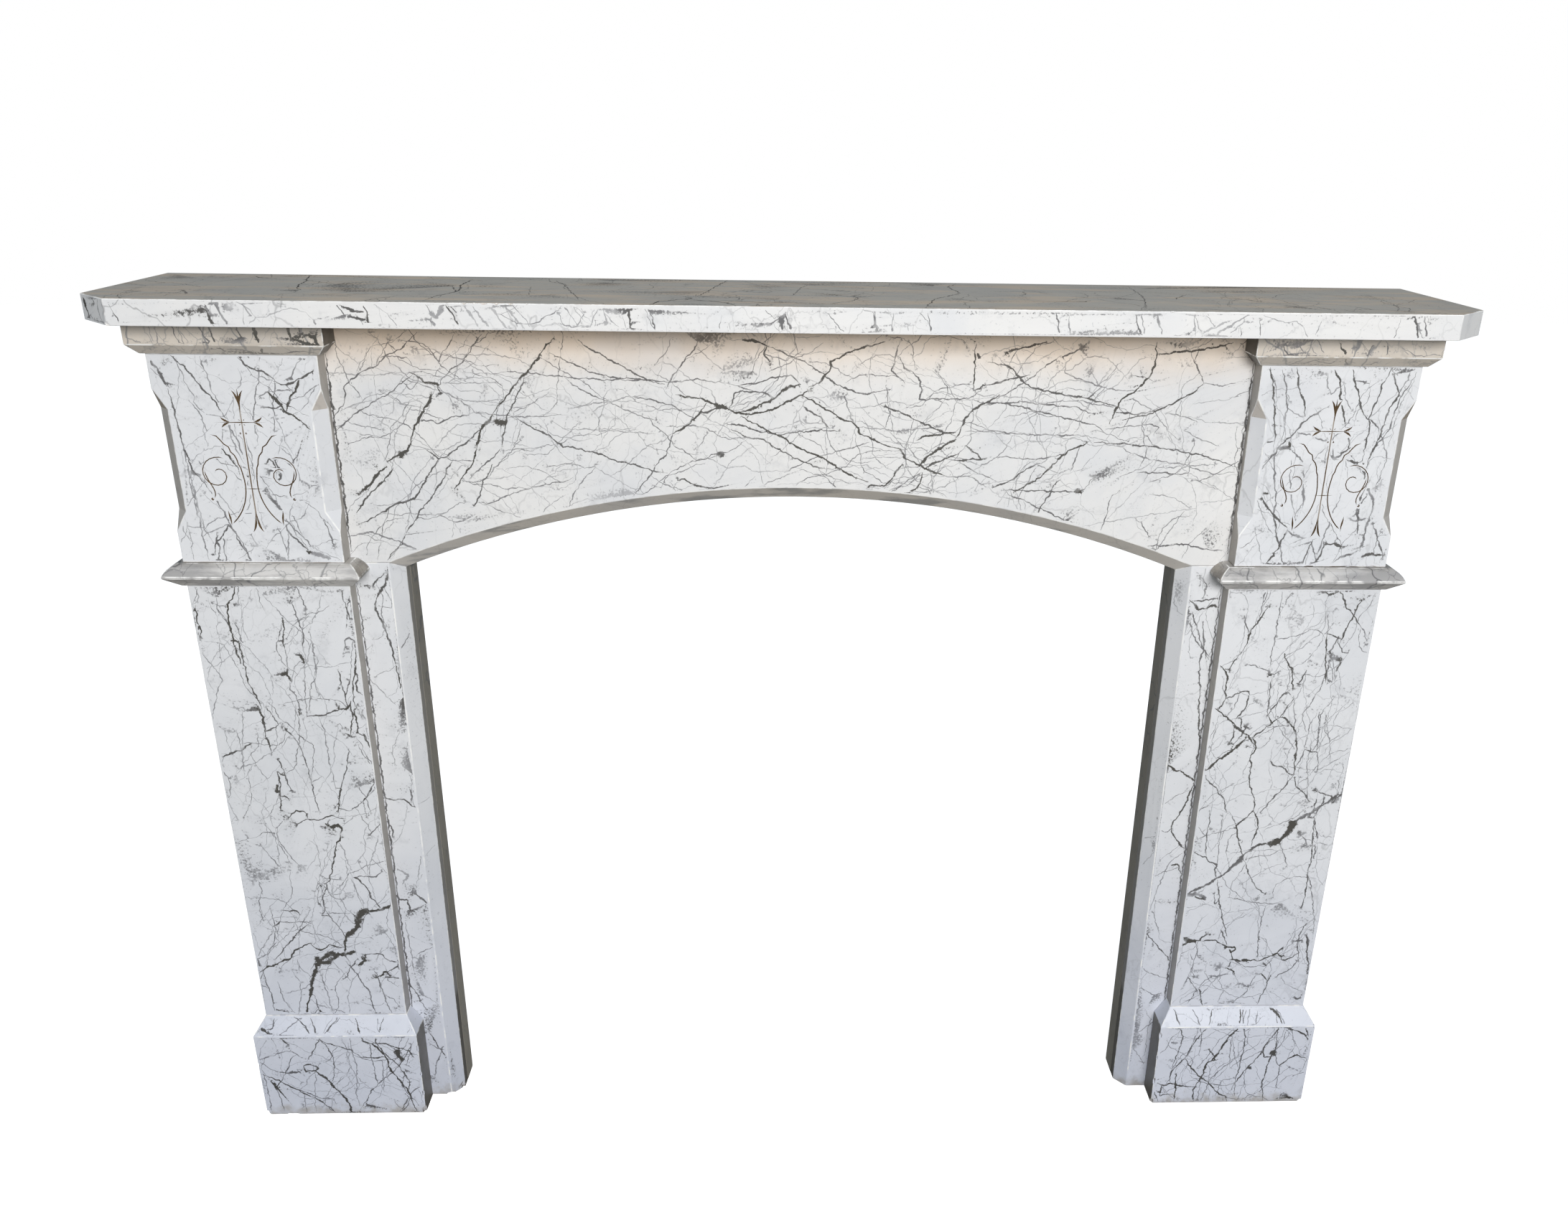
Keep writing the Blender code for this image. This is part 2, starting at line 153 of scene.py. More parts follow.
# Chips: place and half sizes in metres
CHIP_BULGE = 0.45
CHIP_GRAIN = 1.7
CHIP_SPREAD = 3.1
CHIPS = {
    "shelf": (
        ((-0.352, -0.122, 1.1235), (0.0030, 0.0018, 0.0016)),
        ((-0.341, -0.122, 1.1238), (0.0016, 0.0018, 0.0018)),
        ((-0.331, -0.122, 1.1236), (0.0040, 0.0016, 0.0015)),
        ((-0.318, -0.122, 1.1237), (0.0020, 0.0020, 0.0020)),
        ((-0.303, -0.122, 1.1236), (0.0034, 0.0016, 0.0015)),
        ((-0.286, -0.122, 1.1238), (0.0016, 0.0018, 0.0018)),
        ((0.405, -0.122, 1.1237), (0.0030, 0.0018, 0.0016)),
        ((-0.7705, -0.078, 1.112), (0.0022, 0.0022, 0.0050)),
        ((-0.726, -0.122, 1.097), (0.0040, 0.0028, 0.0028)),
    ),
    "left_plinth": (
        ((-0.735, -0.082, 0.001), (0.0050, 0.0050, 0.0060)),
        ((-0.735, -0.082, 0.085), (0.0018, 0.0020, 0.0050)),
        ((-0.515, -0.082, 0.004), (0.0050, 0.0050, 0.0080)),
        ((-0.515, -0.082, 0.034), (0.0022, 0.0026, 0.0055)),
        ((-0.515, -0.082, 0.068), (0.0018, 0.0022, 0.0040)),
        ((-0.515, -0.082, 0.112), (0.0026, 0.0022, 0.0065)),
        ((-0.700, -0.082, 0.0), (0.0090, 0.0030, 0.0018)),
        ((-0.620, -0.082, 0.134), (0.0060, 0.0016, 0.0014)),
    ),
    "right_plinth": (
        ((0.515, -0.082, 0.002), (0.0040, 0.0040, 0.0070)),
        ((0.515, -0.082, 0.040), (0.0026, 0.0026, 0.0065)),
        ((0.515, -0.082, 0.082), (0.0018, 0.0022, 0.0045)),
        ((0.515, -0.082, 0.120), (0.0030, 0.0026, 0.0060)),
        ((0.735, -0.082, 0.0), (0.0060, 0.0050, 0.0050)),
        ((0.735, -0.082, 0.134), (0.0035, 0.0030, 0.0040)),
    ),
    "left_jamb": (
        ((-0.4725, -0.040, 0.004), (0.0080, 0.0090, 0.0090)),
        ((-0.486, -0.047, 0.0), (0.0100, 0.0050, 0.0040)),
    ),
    "right_jamb": (
        ((0.4725, -0.042, 0.003), (0.0060, 0.0060, 0.0070)),
    ),
    "right_block": (
        ((0.622, -0.070, 0.8143), (0.0100, 0.0016, 0.0014)),
        ((0.668, -0.070, 0.8143), (0.0160, 0.0018, 0.0016)),
        ((0.700, -0.070, 0.8143), (0.0070, 0.0022, 0.0024)),
    ),
}

# Colours of the stone; the caps' tan is partly, and the inner faces' colours wholly, set darker as painted
# shade
PALE = (0.79, 0.785, 0.78)
COOL = (0.66, 0.68, 0.72)
SMOKE = (0.40, 0.41, 0.44)
SMOKE_PALE = (0.52, 0.52, 0.53)
FINE_VEIN = (0.24, 0.24, 0.245)
FAINT_VEIN = (0.205, 0.205, 0.22)
DARK_VEIN = (0.070, 0.066, 0.058)
RUBBED_AND_HIGHLIGHT = (0.93, 0.925, 0.91)
PANEL_PALE = (0.765, 0.775, 0.80)
NECKING = (0.66, 0.645, 0.63)
# Tan of the caps: partly the stone's own warmth, partly painted shade from the shelf over them
CAP_TAN_AND_SHADE = (0.66, 0.60, 0.53)
MOULDING_DARK = (0.42, 0.385, 0.34)
# Inner faces: the same marble, set darker as painted shade
INNER_SHADED = (0.44, 0.405, 0.345)
INNER_SHADED_DARK = (0.31, 0.29, 0.255)
GROOVE = (0.135, 0.088, 0.045)
GROOVE_DARK = (0.070, 0.046, 0.024)

# Tints that darken the stone: stains and dirt, and painted shade on faces turned from the light, low down,
# and under the shelf, the arch and the stops
TAN_STAIN_AND_SHADE = (0.92, 0.75, 0.585)
TAN_STREAK = (0.80, 0.68, 0.55)
DUST_AND_SHADE = (0.655, 0.62, 0.56)
UNDERSIDE_SHADE = (0.66, 0.60, 0.52)
UNDERSIDE_DEEP_SHADE = (0.26, 0.245, 0.22)
LOW_COOL_SHADE = (0.855, 0.88, 0.965)
SIDE_SHADE = (0.60, 0.555, 0.49)
STOP_SHADE = (0.76, 0.68, 0.585)
GRIME = (0.66, 0.61, 0.53)
PLINTH_SIDE_SHADE = (0.40, 0.385, 0.35)
SMUDGE = (0.60, 0.60, 0.61)
CAP_END_SHADE = (0.15, 0.145, 0.13)
STEM_DIRT = (0.46, 0.385, 0.31)

# Heights between which stains and painted shade fade in or out, and the place of the ornament's dirty stem
TAN_STAIN_AND_SHADE_HEIGHTS = (1.02, 1.092)
LOW_COOL_SHADE_HEIGHTS = (0.0, 0.55)
PLINTH_HEIGHTS = (0.15, 0.17)
GRIME_HEIGHTS = (0.022, 0.050)
# The caps' painted shade: close under the shelf, and on the splay
CAP_TOP_SHADE_HEIGHTS = (1.078, 1.094)
CAP_SPLAY_SHADE_HEIGHTS = (1.0685, 1.0705)
STEM_X = 0.625
STEM_HALVES = (0.0005, 0.0011)
STEM_FOOT = (0.868, 0.870)
STEM_HEAD = (0.997, 0.999)

# Cloudy noises: scale, detail and, where it isn't the usual one, roughness
CLOUD_GRAIN = (7.0, 5.0, 0.6)
SMOKE_GRAIN = (26.0, 5.0, 0.65)
SPECK_GRAIN = (240.0, 2.0, 0.5)
RAGGED_GRAIN = (380.0, 4.0, 0.6)
BREAK_GRAIN = (75.0, 3.0)
RUB_GRAIN = (55.0, 3.0)
SHEEN_GRAIN = (60.0, 4.0)
SKIN_GRAIN = (700.0, 4.0, 0.6)
DRIFT_GRAIN = (9.0, 3.0)
STREAK_GRAIN = (1.0, 4.0)
SPLASH_GRAIN = (60.0, 4.0)
SMUDGE_GRAIN = (1.0, 5.0, 0.65)
WEATHER_GRAIN = (1.6, 5.0, 0.6)
STEM_GRAIN = (90.0, 3.0)

# How noises are moved: shift, turn and stretch
SMOKE_SHIFT = (3.1, 1.7, 0.4)
NET_TILT = ((0.3, 0.9, 0.2), (0.4, 0.5, 0.9), (1.0, 1.0, 0.7))
COARSE_SHIFT = (4.2, 0.6, 2.4)
STREAK_STRETCH = ((0.0, 0.0, 0.0), (0.0, 0.5, 0.0), (14.0, 8.0, 60.0))
SMUDGE_STRETCH = ((0.2, 0.4, 0.1), (0.0, 0.25, 0.0), (9.0, 20.0, 42.0))
WEATHER_STRETCH = (4.0, 22.0, 1.0)

# Which way a face is turned where stains or painted shade begin and end, as a part of its unit normal
ARCH_TURN = (-0.9, -0.3)
HOLLOW_TURN = (0.3, 0.6)
SIDE_TURN = (0.85, 0.95)
STOP_TURN = (-0.45, -0.15)
FRONT_TURN = (-0.9, -0.5)
UP_DUST_AND_SHADE_TURN = (0.75, 0.95)
NOSE_SHADE_TURN = (-0.6, -0.3)
INNER_TURN = (-0.7, -0.3)
TOP_TURN = (0.3, 0.9)

# Where a noise or a strength begins to show and where it is full
CLOUD_RANGE = (0.40, 0.70)
SMOKE_RANGE = (0.56, 0.74)
SPECK_RANGE = (0.66, 0.74)
CORE_RANGE = (0.30, 0.56)
BREAK_RANGE = (0.30, 0.55)
TONE_RANGE = (0.1, 0.85)
DARK_RANGE = (0.35, 0.85)
RUB_RANGE = (0.42, 0.60)
STREAK_RANGE = (0.50, 0.64)
SMUDGE_RANGE = (0.42, 0.62)
WEATHER_RANGE = (0.45, 0.62)

# Strengths in the marble
CLOUD_SHARE = 0.55
SMOKE_SHARE = 0.30
SPECK_SHARE = 0.35
FINE_SHARE = 0.6
RAGGEDNESS = 1.5
UNBROKEN_SHARE = 0.55
HALO_SHARE = 0.22
WEIGHT_RANGE = (0.36, 1.08)
RUB_AND_HIGHLIGHT_SHARE = 0.85
SHEEN_SPAN = 0.22
VEIN_ROUGHNESS = 0.12
SKIN_BUMP = 0.12
SKIN_DEPTH = 0.0004
NOISE_MIDDLE = 0.5
HOLLOW_SHARE = 0.85
STEM_LEAST = 0.65
UP_DUST_AND_SHADE_SHARE = 0.5
NOSE_SHADE_SHARE = 0.35
CAP_TOP_SHADE_SHARE = 0.5
CAP_SPLAY_SHADE_SHARE = 0.42
HONED, MATTE, DIRTY = 0.42, 0.55, 0.7
DRIFT_HEIGHT = 0.05
SPLASH_HEIGHT = 0.06

# Nets of fine lines: scale, line width, and the scale and range of the patches in which they show
FINE_NET = (34.0, 0.0008, 9.0, 0.46, 0.66)
COARSE_NET = (13.0, 0.0012, 4.0, 0.45, 0.62)
COARSE_SPREAD = 0.004
NET_DRIFT = 0.9
NET_BEND = 0.9
NET_GRAIN = (4.0, 0.6)


# Veins read off the photograph. Each table is its grid, given by its left and top edge and its step
# or two steps in mm, then one vein a line: width in mm, tone from 0 (faint) to 1 (dark), and its places in
# grid steps from the left and top.
VEINS = {
    # The frieze's first two rows are painted shadow lines in the corners beside the blocks and pilasters,
    # not veins.
    "frieze": ((-535.0, 1100.0, 0.6), """
2.2 .7 8,75 8,160 8,250 8,350 8,462
2.2 .7 1775,75 1775,160 1775,250 1775,350 1775,462
1.3 .6 182,32 163,50 150,62 118,78 100,95 70,108 52,120 35,135 35,150 30,170 12,190 0,200
1.1 .5 127,50 105,82 99,97
1 .5 125,52 140,66
1.2 .6 0,236 10,222 30,203 57,182 95,160 125,143 150,122 170,107
1 .35 0,109 45,111 75,115 120,110 160,108
1.8 .85 160,107 175,115 185,126 208,128
3.6 .95 183,125 198,127 212,130
1.8 .8 208,128 215,146
2.6 .9 198,147 190,165 178,183 165,200 155,222
2 .85 155,222 148,245 140,258 130,264 115,272 100,281
6 .9 134,262 126,267
3.2 .85 97,291 85,300 70,315 60,328 38,347
2 .75 110,293 95,313 75,330 60,345 45,362 28,385
1.1 .6 210,135 222,118 240,98 258,92 272,72 290,48 303,33
1.1 .55 250,35 240,52 222,75 218,88 200,60 180,50 150,47
1 .5 105,80 135,77 160,80 168,97
1.1 .55 145,125 158,140 172,128 178,115
1 .35 127,142 145,150 175,151 200,158
1 .35 112,150 140,168 175,175 190,180
1.4 .6 165,200 195,200 203,205 222,197 240,190 265,188
1.8 .85 437,37 420,55 405,75 390,92 383,105 370,112 350,138 335,155 318,175 310,185
2.6 .95 310,185 300,200 285,215 278,235 273,255
1.8 .85 273,255 265,280 250,300 235,320 225,333
1.4 .7 375,112 370,130 358,150 345,175 335,195 330,215 325,235 322,250
5.5 .95 315,200 324,203 334,202
1.5 .6 318,255 300,275 280,290 262,305
1.5 .65 300,285 292,305 280,320 272,345 265,362 255,373
1.1 .5 275,183 300,185 345,190 400,190 440,185
1.1 .5 350,182 385,165 410,150 418,145
1.5 .65 345,190 380,210 410,225 440,248 480,255 515,265 545,278 575,283 615,297 640,300
1.3 .6 425,68 455,82 500,103 540,113 620,118
1.5 .65 480,43 505,62 530,75 560,92 585,105 612,120 640,125
1.2 .55 315,108 350,104 420,110 470,115 540,118 620,118 650,122 700,115 740,120 780,127
1.2 .55 780,127 800,135 830,140 850,150
1 .4 250,73 330,73 370,82 385,92
1 .4 215,127 260,127 325,125
1.2 .55 450,113 470,130 490,143 520,155 590,187 620,195
1 .45 460,172 500,165 538,160 570,150 600,147
1 .45 500,180 520,168 538,158
1 .4 440,213 500,215 560,218 620,222
1.5 .65 175,255 198,275 212,270 235,255 260,238 285,215
1.8 .7 198,275 185,295 170,315 158,335 150,350 125,362 100,370 80,382 60,395 30,408
1 .5 212,270 225,278 265,278
1.5 .65 225,278 213,295 208,310 195,325 180,350 165,365 152,380 145,395 130,412 118,430
1.5 .65 118,430 110,450 90,465 80,480
1 .5 240,318 260,322 290,313
1.2 .55 265,362 285,365 310,355 345,340 400,325 440,318 455,310
1.1 .5 140,395 165,397 190,390 215,402 245,400
2 .5 0,437 30,428 50,425 80,435 105,445 150,465
1.1 .5 440,378 450,355 457,340 472,318 500,290
1.4 .6 570,348 590,325 613,295 625,275 637,265 648,240 652,222
1 .45 325,258 350,255 400,250
1 .45 455,283 480,290 500,288
1.1 .5 653,40 650,55 635,75 620,92
1.4 .6 705,42 697,60 678,80 655,112 650,120 642,135
1.4 .6 580,150 620,157 650,165 675,180 697,192
1.9 .85 652,222 680,205 697,192 705,180 720,160
2.4 .7 712,180 745,170
1.8 .85 660,145 690,150 715,155 745,167
4.6 .9 738,165 757,171
2.2 .9 757,171 775,178 795,182
2 .85 795,182 830,178 860,165 880,155 900,143 915,135
2.4 .9 785,177 810,170 840,155 850,150 865,137 880,127 900,123
1.5 .65 850,150 830,140 790,137 775,140 765,165 760,175
1.5 .65 900,123 880,105 850,110 820,120 780,127
2 .9 915,128 935,120 950,103 958,90 955,78 975,72 990,60 1020,52 1060,40
1.5 .65 835,50 860,60 885,70 910,82 935,97 950,110 985,130 1010,138 1030,140 1075,130
3 .9 790,40 820,43 835,50
1.6 .7 835,50 830,65 840,80
1.2 .5 830,65 870,78 900,62
1.9 .9 785,185 810,200 840,215 870,230 890,243 910,255 935,262 955,275 980,290 1000,303 1035,315
1.6 .65 750,200 780,203 820,215 855,222 880,218 930,213 980,213
1.5 .7 765,212 800,228 830,232 855,250 875,260 905,275 930,285 960,290
1.1 .5 640,208 690,205 720,210 740,225 760,230 820,228
1 .45 720,220 700,250
1.2 .55 940,263 905,278 872,297
1.2 .55 940,263 990,250 1035,235
1.8 .85 905,145 945,168 965,180 980,190 1000,195 1010,205 1015,218 1035,225 1050,235 1080,245
1.8 .8 1080,245 1095,248 1105,265 1125,275 1145,287 1190,303
1.5 .65 905,165 920,178 940,185 945,195 955,208
1.2 .55 985,145 990,165 1003,195
1.1 .5 1010,205 1050,208 1090,213
1.4 .6 1088,40 1083,60 1078,80 1073,95 1090,107 1100,118
1.4 .6 1083,66 1092,70 1097,90 1120,100 1130,115 1133,135 1130,150 1195,148 1230,150
1.8 .7 1055,162 1085,172 1115,185 1140,198 1165,208 1205,222
1.1 .5 1110,210 1165,205
2.4 .8 1130,230 1145,222 1200,215
2.4 .9 1205,228 1185,240 1165,252 1150,265 1135,282
2 .75 1150,285 1165,275 1210,258
1.1 .5 1110,235 1115,250 1145,285
1 .4 1020,267 1080,265 1110,265
1.8 .75 1100,280 1090,295 1080,310 1065,325 1040,322 1025,335
1.2 .55 1140,295 1100,322 1078,337
1.5 .85 1142,295 1138,320 1128,330 1100,342
1.2 .55 1135,325 1155,330 1163,345
1.8 .7 660,315 672,312 685,322 735,333
1.1 .5 820,330 840,317 880,300
1.1 .5 935,292 955,303 1000,320
4 .7 742,261 748,263
1.4 .95 1235,42 1232,65 1235,100 1233,133
4 .9 1238,62 1242,68
1.8 .7 1233,133 1255,122 1290,113 1342,100
1.8 .7 1258,77 1295,82 1312,95 1328,112 1345,125 1375,130 1400,137 1440,142 1470,148 1512,160
2 .75 1285,140 1265,152 1245,163 1230,173 1220,190 1213,210 1205,225
1.5 .6 1235,150 1260,157 1335,153 1370,157 1440,163 1470,175
1.1 .5 1370,157 1410,150 1440,150 1510,162
1.5 .6 1255,160 1290,155 1330,163 1380,175 1430,187 1480,198 1497,213
1.4 .55 1225,212 1280,211 1330,217 1465,219
1.8 .8 1472,228 1450,240 1430,250 1410,265 1400,280 1385,295 1365,312 1325,335
1.2 .55 1425,253 1400,262 1350,268 1310,262 1280,265
1.2 .55 1450,243 1445,265 1437,290
1.6 .65 1372,275 1350,285 1320,310 1285,325
1.5 .65 1305,330 1360,331 1455,333
4.5 .8 1453,331 1460,332
1.4 .6 1310,332 1320,342 1350,352 1385,370 1420,385 1470,415
1.4 .65 1418,308 1405,320 1395,345 1372,385
1.1 .5 1318,345 1315,372 1345,392
1.8 .9 1582,35 1580,50 1585,60 1582,80 1575,100 1560,120 1545,133 1530,140 1520,155 1513,170 1505,195
2 .9 1585,58 1640,52 1665,50 1700,43 1730,35
1.5 .6 1665,50 1657,70 1668,85 1682,113
1.2 .5 1682,113 1720,118 1745,112
1.8 .75 1682,113 1660,135 1630,150 1600,167 1580,175 1530,187
1.6 .65 1512,172 1560,175 1600,167
1.2 .5 1545,145 1585,165
1.2 .5 1615,173 1650,178 1680,190
1.2 .55 1500,205 1540,200 1580,195 1605,200 1595,215
1.5 .65 1478,232 1540,235 1600,240 1640,247 1700,257 1770,280
1.2 .5 1535,240 1545,250 1600,267 1660,275 1725,295 1765,290
1.4 .6 1570,293 1600,292 1650,295 1675,293 1675,277
1.1 .5 1655,207 1680,220 1725,237
1.1 .45 1712,190 1770,192
1.3 .6 1400,62 1375,80 1355,97 1325,120 1280,148
1.6 .65 1435,50 1402,65
2 .85 1295,57 1330,47 1370,38
1.4 .5 1408,75 1408,95 1440,108 1500,127 1555,130
1.4 .6 1483,122 1460,143
1.2 .55 1575,385 1590,400 1612,428
1 .35 1470,405 1520,395 1575,385 1700,365
1.6 .6 1600,447 1690,442 1720,452 1765,455
1.8 .7 1225,240 1245,255 1258,268 1205,270
1.2 .55 1215,275 1240,290 1290,312
1.2 .5 1180,303 1240,303 1270,325
"""),
    "left_pilaster": ((-725.0, 790.0, 0.6), """
3.6 .95 325,758 310,766 290,772 272,774
9 .95 268,773 258,775 250,783 248,795
6 .95 250,793 243,812 236,822 225,832 216,840
3 .9 216,838 212,850 209,865 207,882
3.4 .9 228,881 215,885 205,888
6.5 .95 205,888 190,890 175,886 163,892 155,900
6.5 .95 185,896 168,908 150,910 143,900
5 .95 150,905 142,918 135,932 130,945
3.8 .9 130,945 124,965 118,990 112,1010
2.4 .85 112,1010 105,1030 100,1052
3.5 .9 247,905 238,914 234,917
2 .85 138,857 130,857 115,868 100,875 92,882 86,898 70,903 55,911 30,922 12,935
1.8 .8 135,858 140,868 152,875 165,872 175,862 200,870
1.4 .65 252,890 262,887 288,886 293,900 305,907 325,909
2.6 .85 270,950 282,945 292,935 298,945
2 .75 290,950 305,950 325,955
1.8 .7 292,937 305,930 320,922
1.6 .8 238,568 233,590 224,600 220,618 214,638 209,655 206,675 200,680 196,697 190,700
1.3 .65 190,700 186,720 178,735 176,750 178,768 171,785 186,785 178,768
1.2 .6 186,785 196,805 206,822 214,842
1 .5 190,700 192,725 202,740 218,745
1 .5 218,748 225,768 240,785
1.1 .5 176,780 190,778 210,780 235,778
4.2 .9 220,562 228,555 236,558
3 .9 236,558 242,566 236,574
2.4 .85 214,545 212,553
2 .8 135,535 142,525 150,518 158,522 166,520 170,528
1.6 .7 148,552 158,545 170,541 190,543 205,538 220,532 248,540
1.8 .85 99,8 96,30 88,42 81,50 78,62 78,85 78,100 79,120 80,140
2.2 .85 76,128 84,128 88,130
2 .8 90,130 90,145 92,160
2.2 .8 81,140 84,160 87,178
1.5 .7 92,160 92,180 95,205 96,225 104,245 112,265 113,280
2.6 .8 108,282 112,300 112,312
1.5 .65 113,300 113,340 116,360 119,385
1.3 .65 122,275 130,290 138,305 142,316
2.2 .7 142,316 135,322 125,328 115,330
2 .75 108,346 114,350 118,365
1.4 .65 125,395 132,400 136,420 140,440 144,460 147,470
2.2 .8 125,425 132,432 140,436
1.6 .7 124,425 125,440 126,460 122,480 120,500 118,520
4.2 .8 119,458 118,466 116,474
2.2 .75 122,484 133,486 138,490
1.2 .55 60,62 66,70 70,82 76,92 78,94
1.1 .5 53,47 62,52 76,54
1 .45 22,12 28,32 22,45 12,50
1.7 .85 8,55 12,70 10,85 16,98
1.4 .75 15,60 18,74 15,88 20,102 16,118
1.5 .7 5,120 12,108 16,98
1 .45 6,148 20,168 34,188 44,215 30,240 22,265 12,295 10,310
1.9 .7 10,392 30,385 50,377 62,374 66,366 82,358
1 .45 74,285 70,310 66,340 60,370 57,400 54,440
1.2 .55 88,90 94,108 96,130
1 .45 108,12 104,30 101,50
1.4 .7 184,80 184,95 180,115 178,128 179,145
1.8 .75 168,128 178,128
1.2 .55 179,145 180,170 179,190
2.4 .9 173,200 178,208 182,218
1.2 .55 180,215 177,235 186,250 190,270 192,285
3 .8 187,285 189,292
1.3 .6 206,45 210,62 214,80 216,98 222,118 216,135 214,150
1.2 .55 220,12 228,35 233,62
3.4 .75 208,160 212,168 213,176
1.2 .5 213,180 212,200 208,225 205,260 202,300
1.2 .55 232,210 222,222 218,240 212,265 208,285
1.2 .5 236,130 235,160 233,190
1.8 .7 203,297 222,295 240,293 255,286 270,282
2.4 .85 270,280 285,280 292,272 296,262
1.4 .7 279,190 281,215 285,240 286,265 290,278
1.3 .65 300,215 293,232 287,250
1.7 .75 320,150 317,175 312,195 307,215 303,240 302,260 304,275
1.6 .7 313,190 316,210 312,225 312,240 322,248
1.6 .75 296,262 294,280 296,295 290,320 286,340
1.8 .8 300,285 302,305 302,335
2.2 .7 302,335 312,342 320,358 322,370
1.4 .65 308,20 310,45 314,65 318,85
1.4 .6 322,40 314,55 313,70
1.6 .55 300,140 301,128 310,120 320,128
1.3 .6 279,370 274,395 269,415 262,435 255,455 248,470
1.8 .75 240,465 250,466 246,480 243,500 237,525
1.1 .5 226,295 230,315 234,330 234,350 234,380 235,410 238,440 240,470
1.3 .6 158,330 170,343 178,365 184,390 188,420 191,450 192,480 196,505 198,530
2.2 .65 156,330 166,340
1 .45 215,437 200,446 190,452
1 .45 260,318 266,313 272,322
1.4 .65 296,492 300,488 312,470 322,452
2.4 .75 295,493 300,489
1.1 .5 288,460 292,475 300,490 304,510 306,530
1.2 .55 300,490 280,508 262,522 245,515 236,508
1.5 .6 322,552 310,568 298,578
1 .45 316,580 308,608 295,635 288,660 282,690
1 .45 295,640 310,660 322,675
1.2 .5 178,680 188,688 205,690 220,692
2 .7 252,686 262,694 270,705 276,715
2.4 .7 276,715 281,728 280,738
1.5 .6 281,738 290,750 298,765
1.4 .55 250,686 268,684 285,686 300,683 312,672
1.1 .5 244,690 250,712 255,735 260,760
1 .45 228,595 238,620 243,650 247,668
1.3 .6 70,800 95,802 120,800 135,803 150,798
1.6 .7 60,812 70,806 76,800
1.4 .65 145,803 128,812 112,828 98,845 82,862 70,880 55,895 50,900
2 .7 88,770 100,772 112,770 118,776 122,782
1.1 .5 60,820 48,838 38,855 25,872 15,890 8,898
1.1 .5 10,900 35,885 45,872 60,855
1.1 .5 45,690 48,720 40,745 36,770 42,800
1.1 .5 145,770 130,795 118,815 110,835
1 .45 175,705 168,725 165,750
3 .8 176,706 178,709
2.4 .75 165,750 168,754
1.2 .55 65,580 72,572 85,571 95,575
1.1 .5 65,607 75,625 85,640 93,655
1.1 .5 118,545 106,560 101,575 103,600 110,620 118,645
1.1 .5 95,578 105,600 118,622 128,645 138,655
1 .45 76,548 88,568 98,590 98,620 96,650
1.2 .6 232,900 222,915 212,925 205,948 190,958
1.6 .6 205,905 218,925 228,945 235,965 248,985 250,1010 255,1050
1.4 .6 265,930 272,950 276,975 280,1000 285,1025 292,1048
1.1 .5 283,1000 300,1012 310,1030
1.3 .6 20,930 22,960 28,985 30,1010 30,1040
1.1 .5 12,970 25,978
1.1 .5 48,960 52,990 55,1015 70,1040 80,1052
1.1 .5 98,960 96,990 90,1020 82,1050
1.3 .6 120,995 126,1000 126,1020 130,1035 118,1050
2.6 .8 131,1040 133,1044
2.4 .7 38,1038 41,1040
1.2 .5 145,935 150,965 155,1000 158,1030 162,1052
1 .45 100,900 102,915 99,930
1 .45 300,830 310,845 318,870
"""),
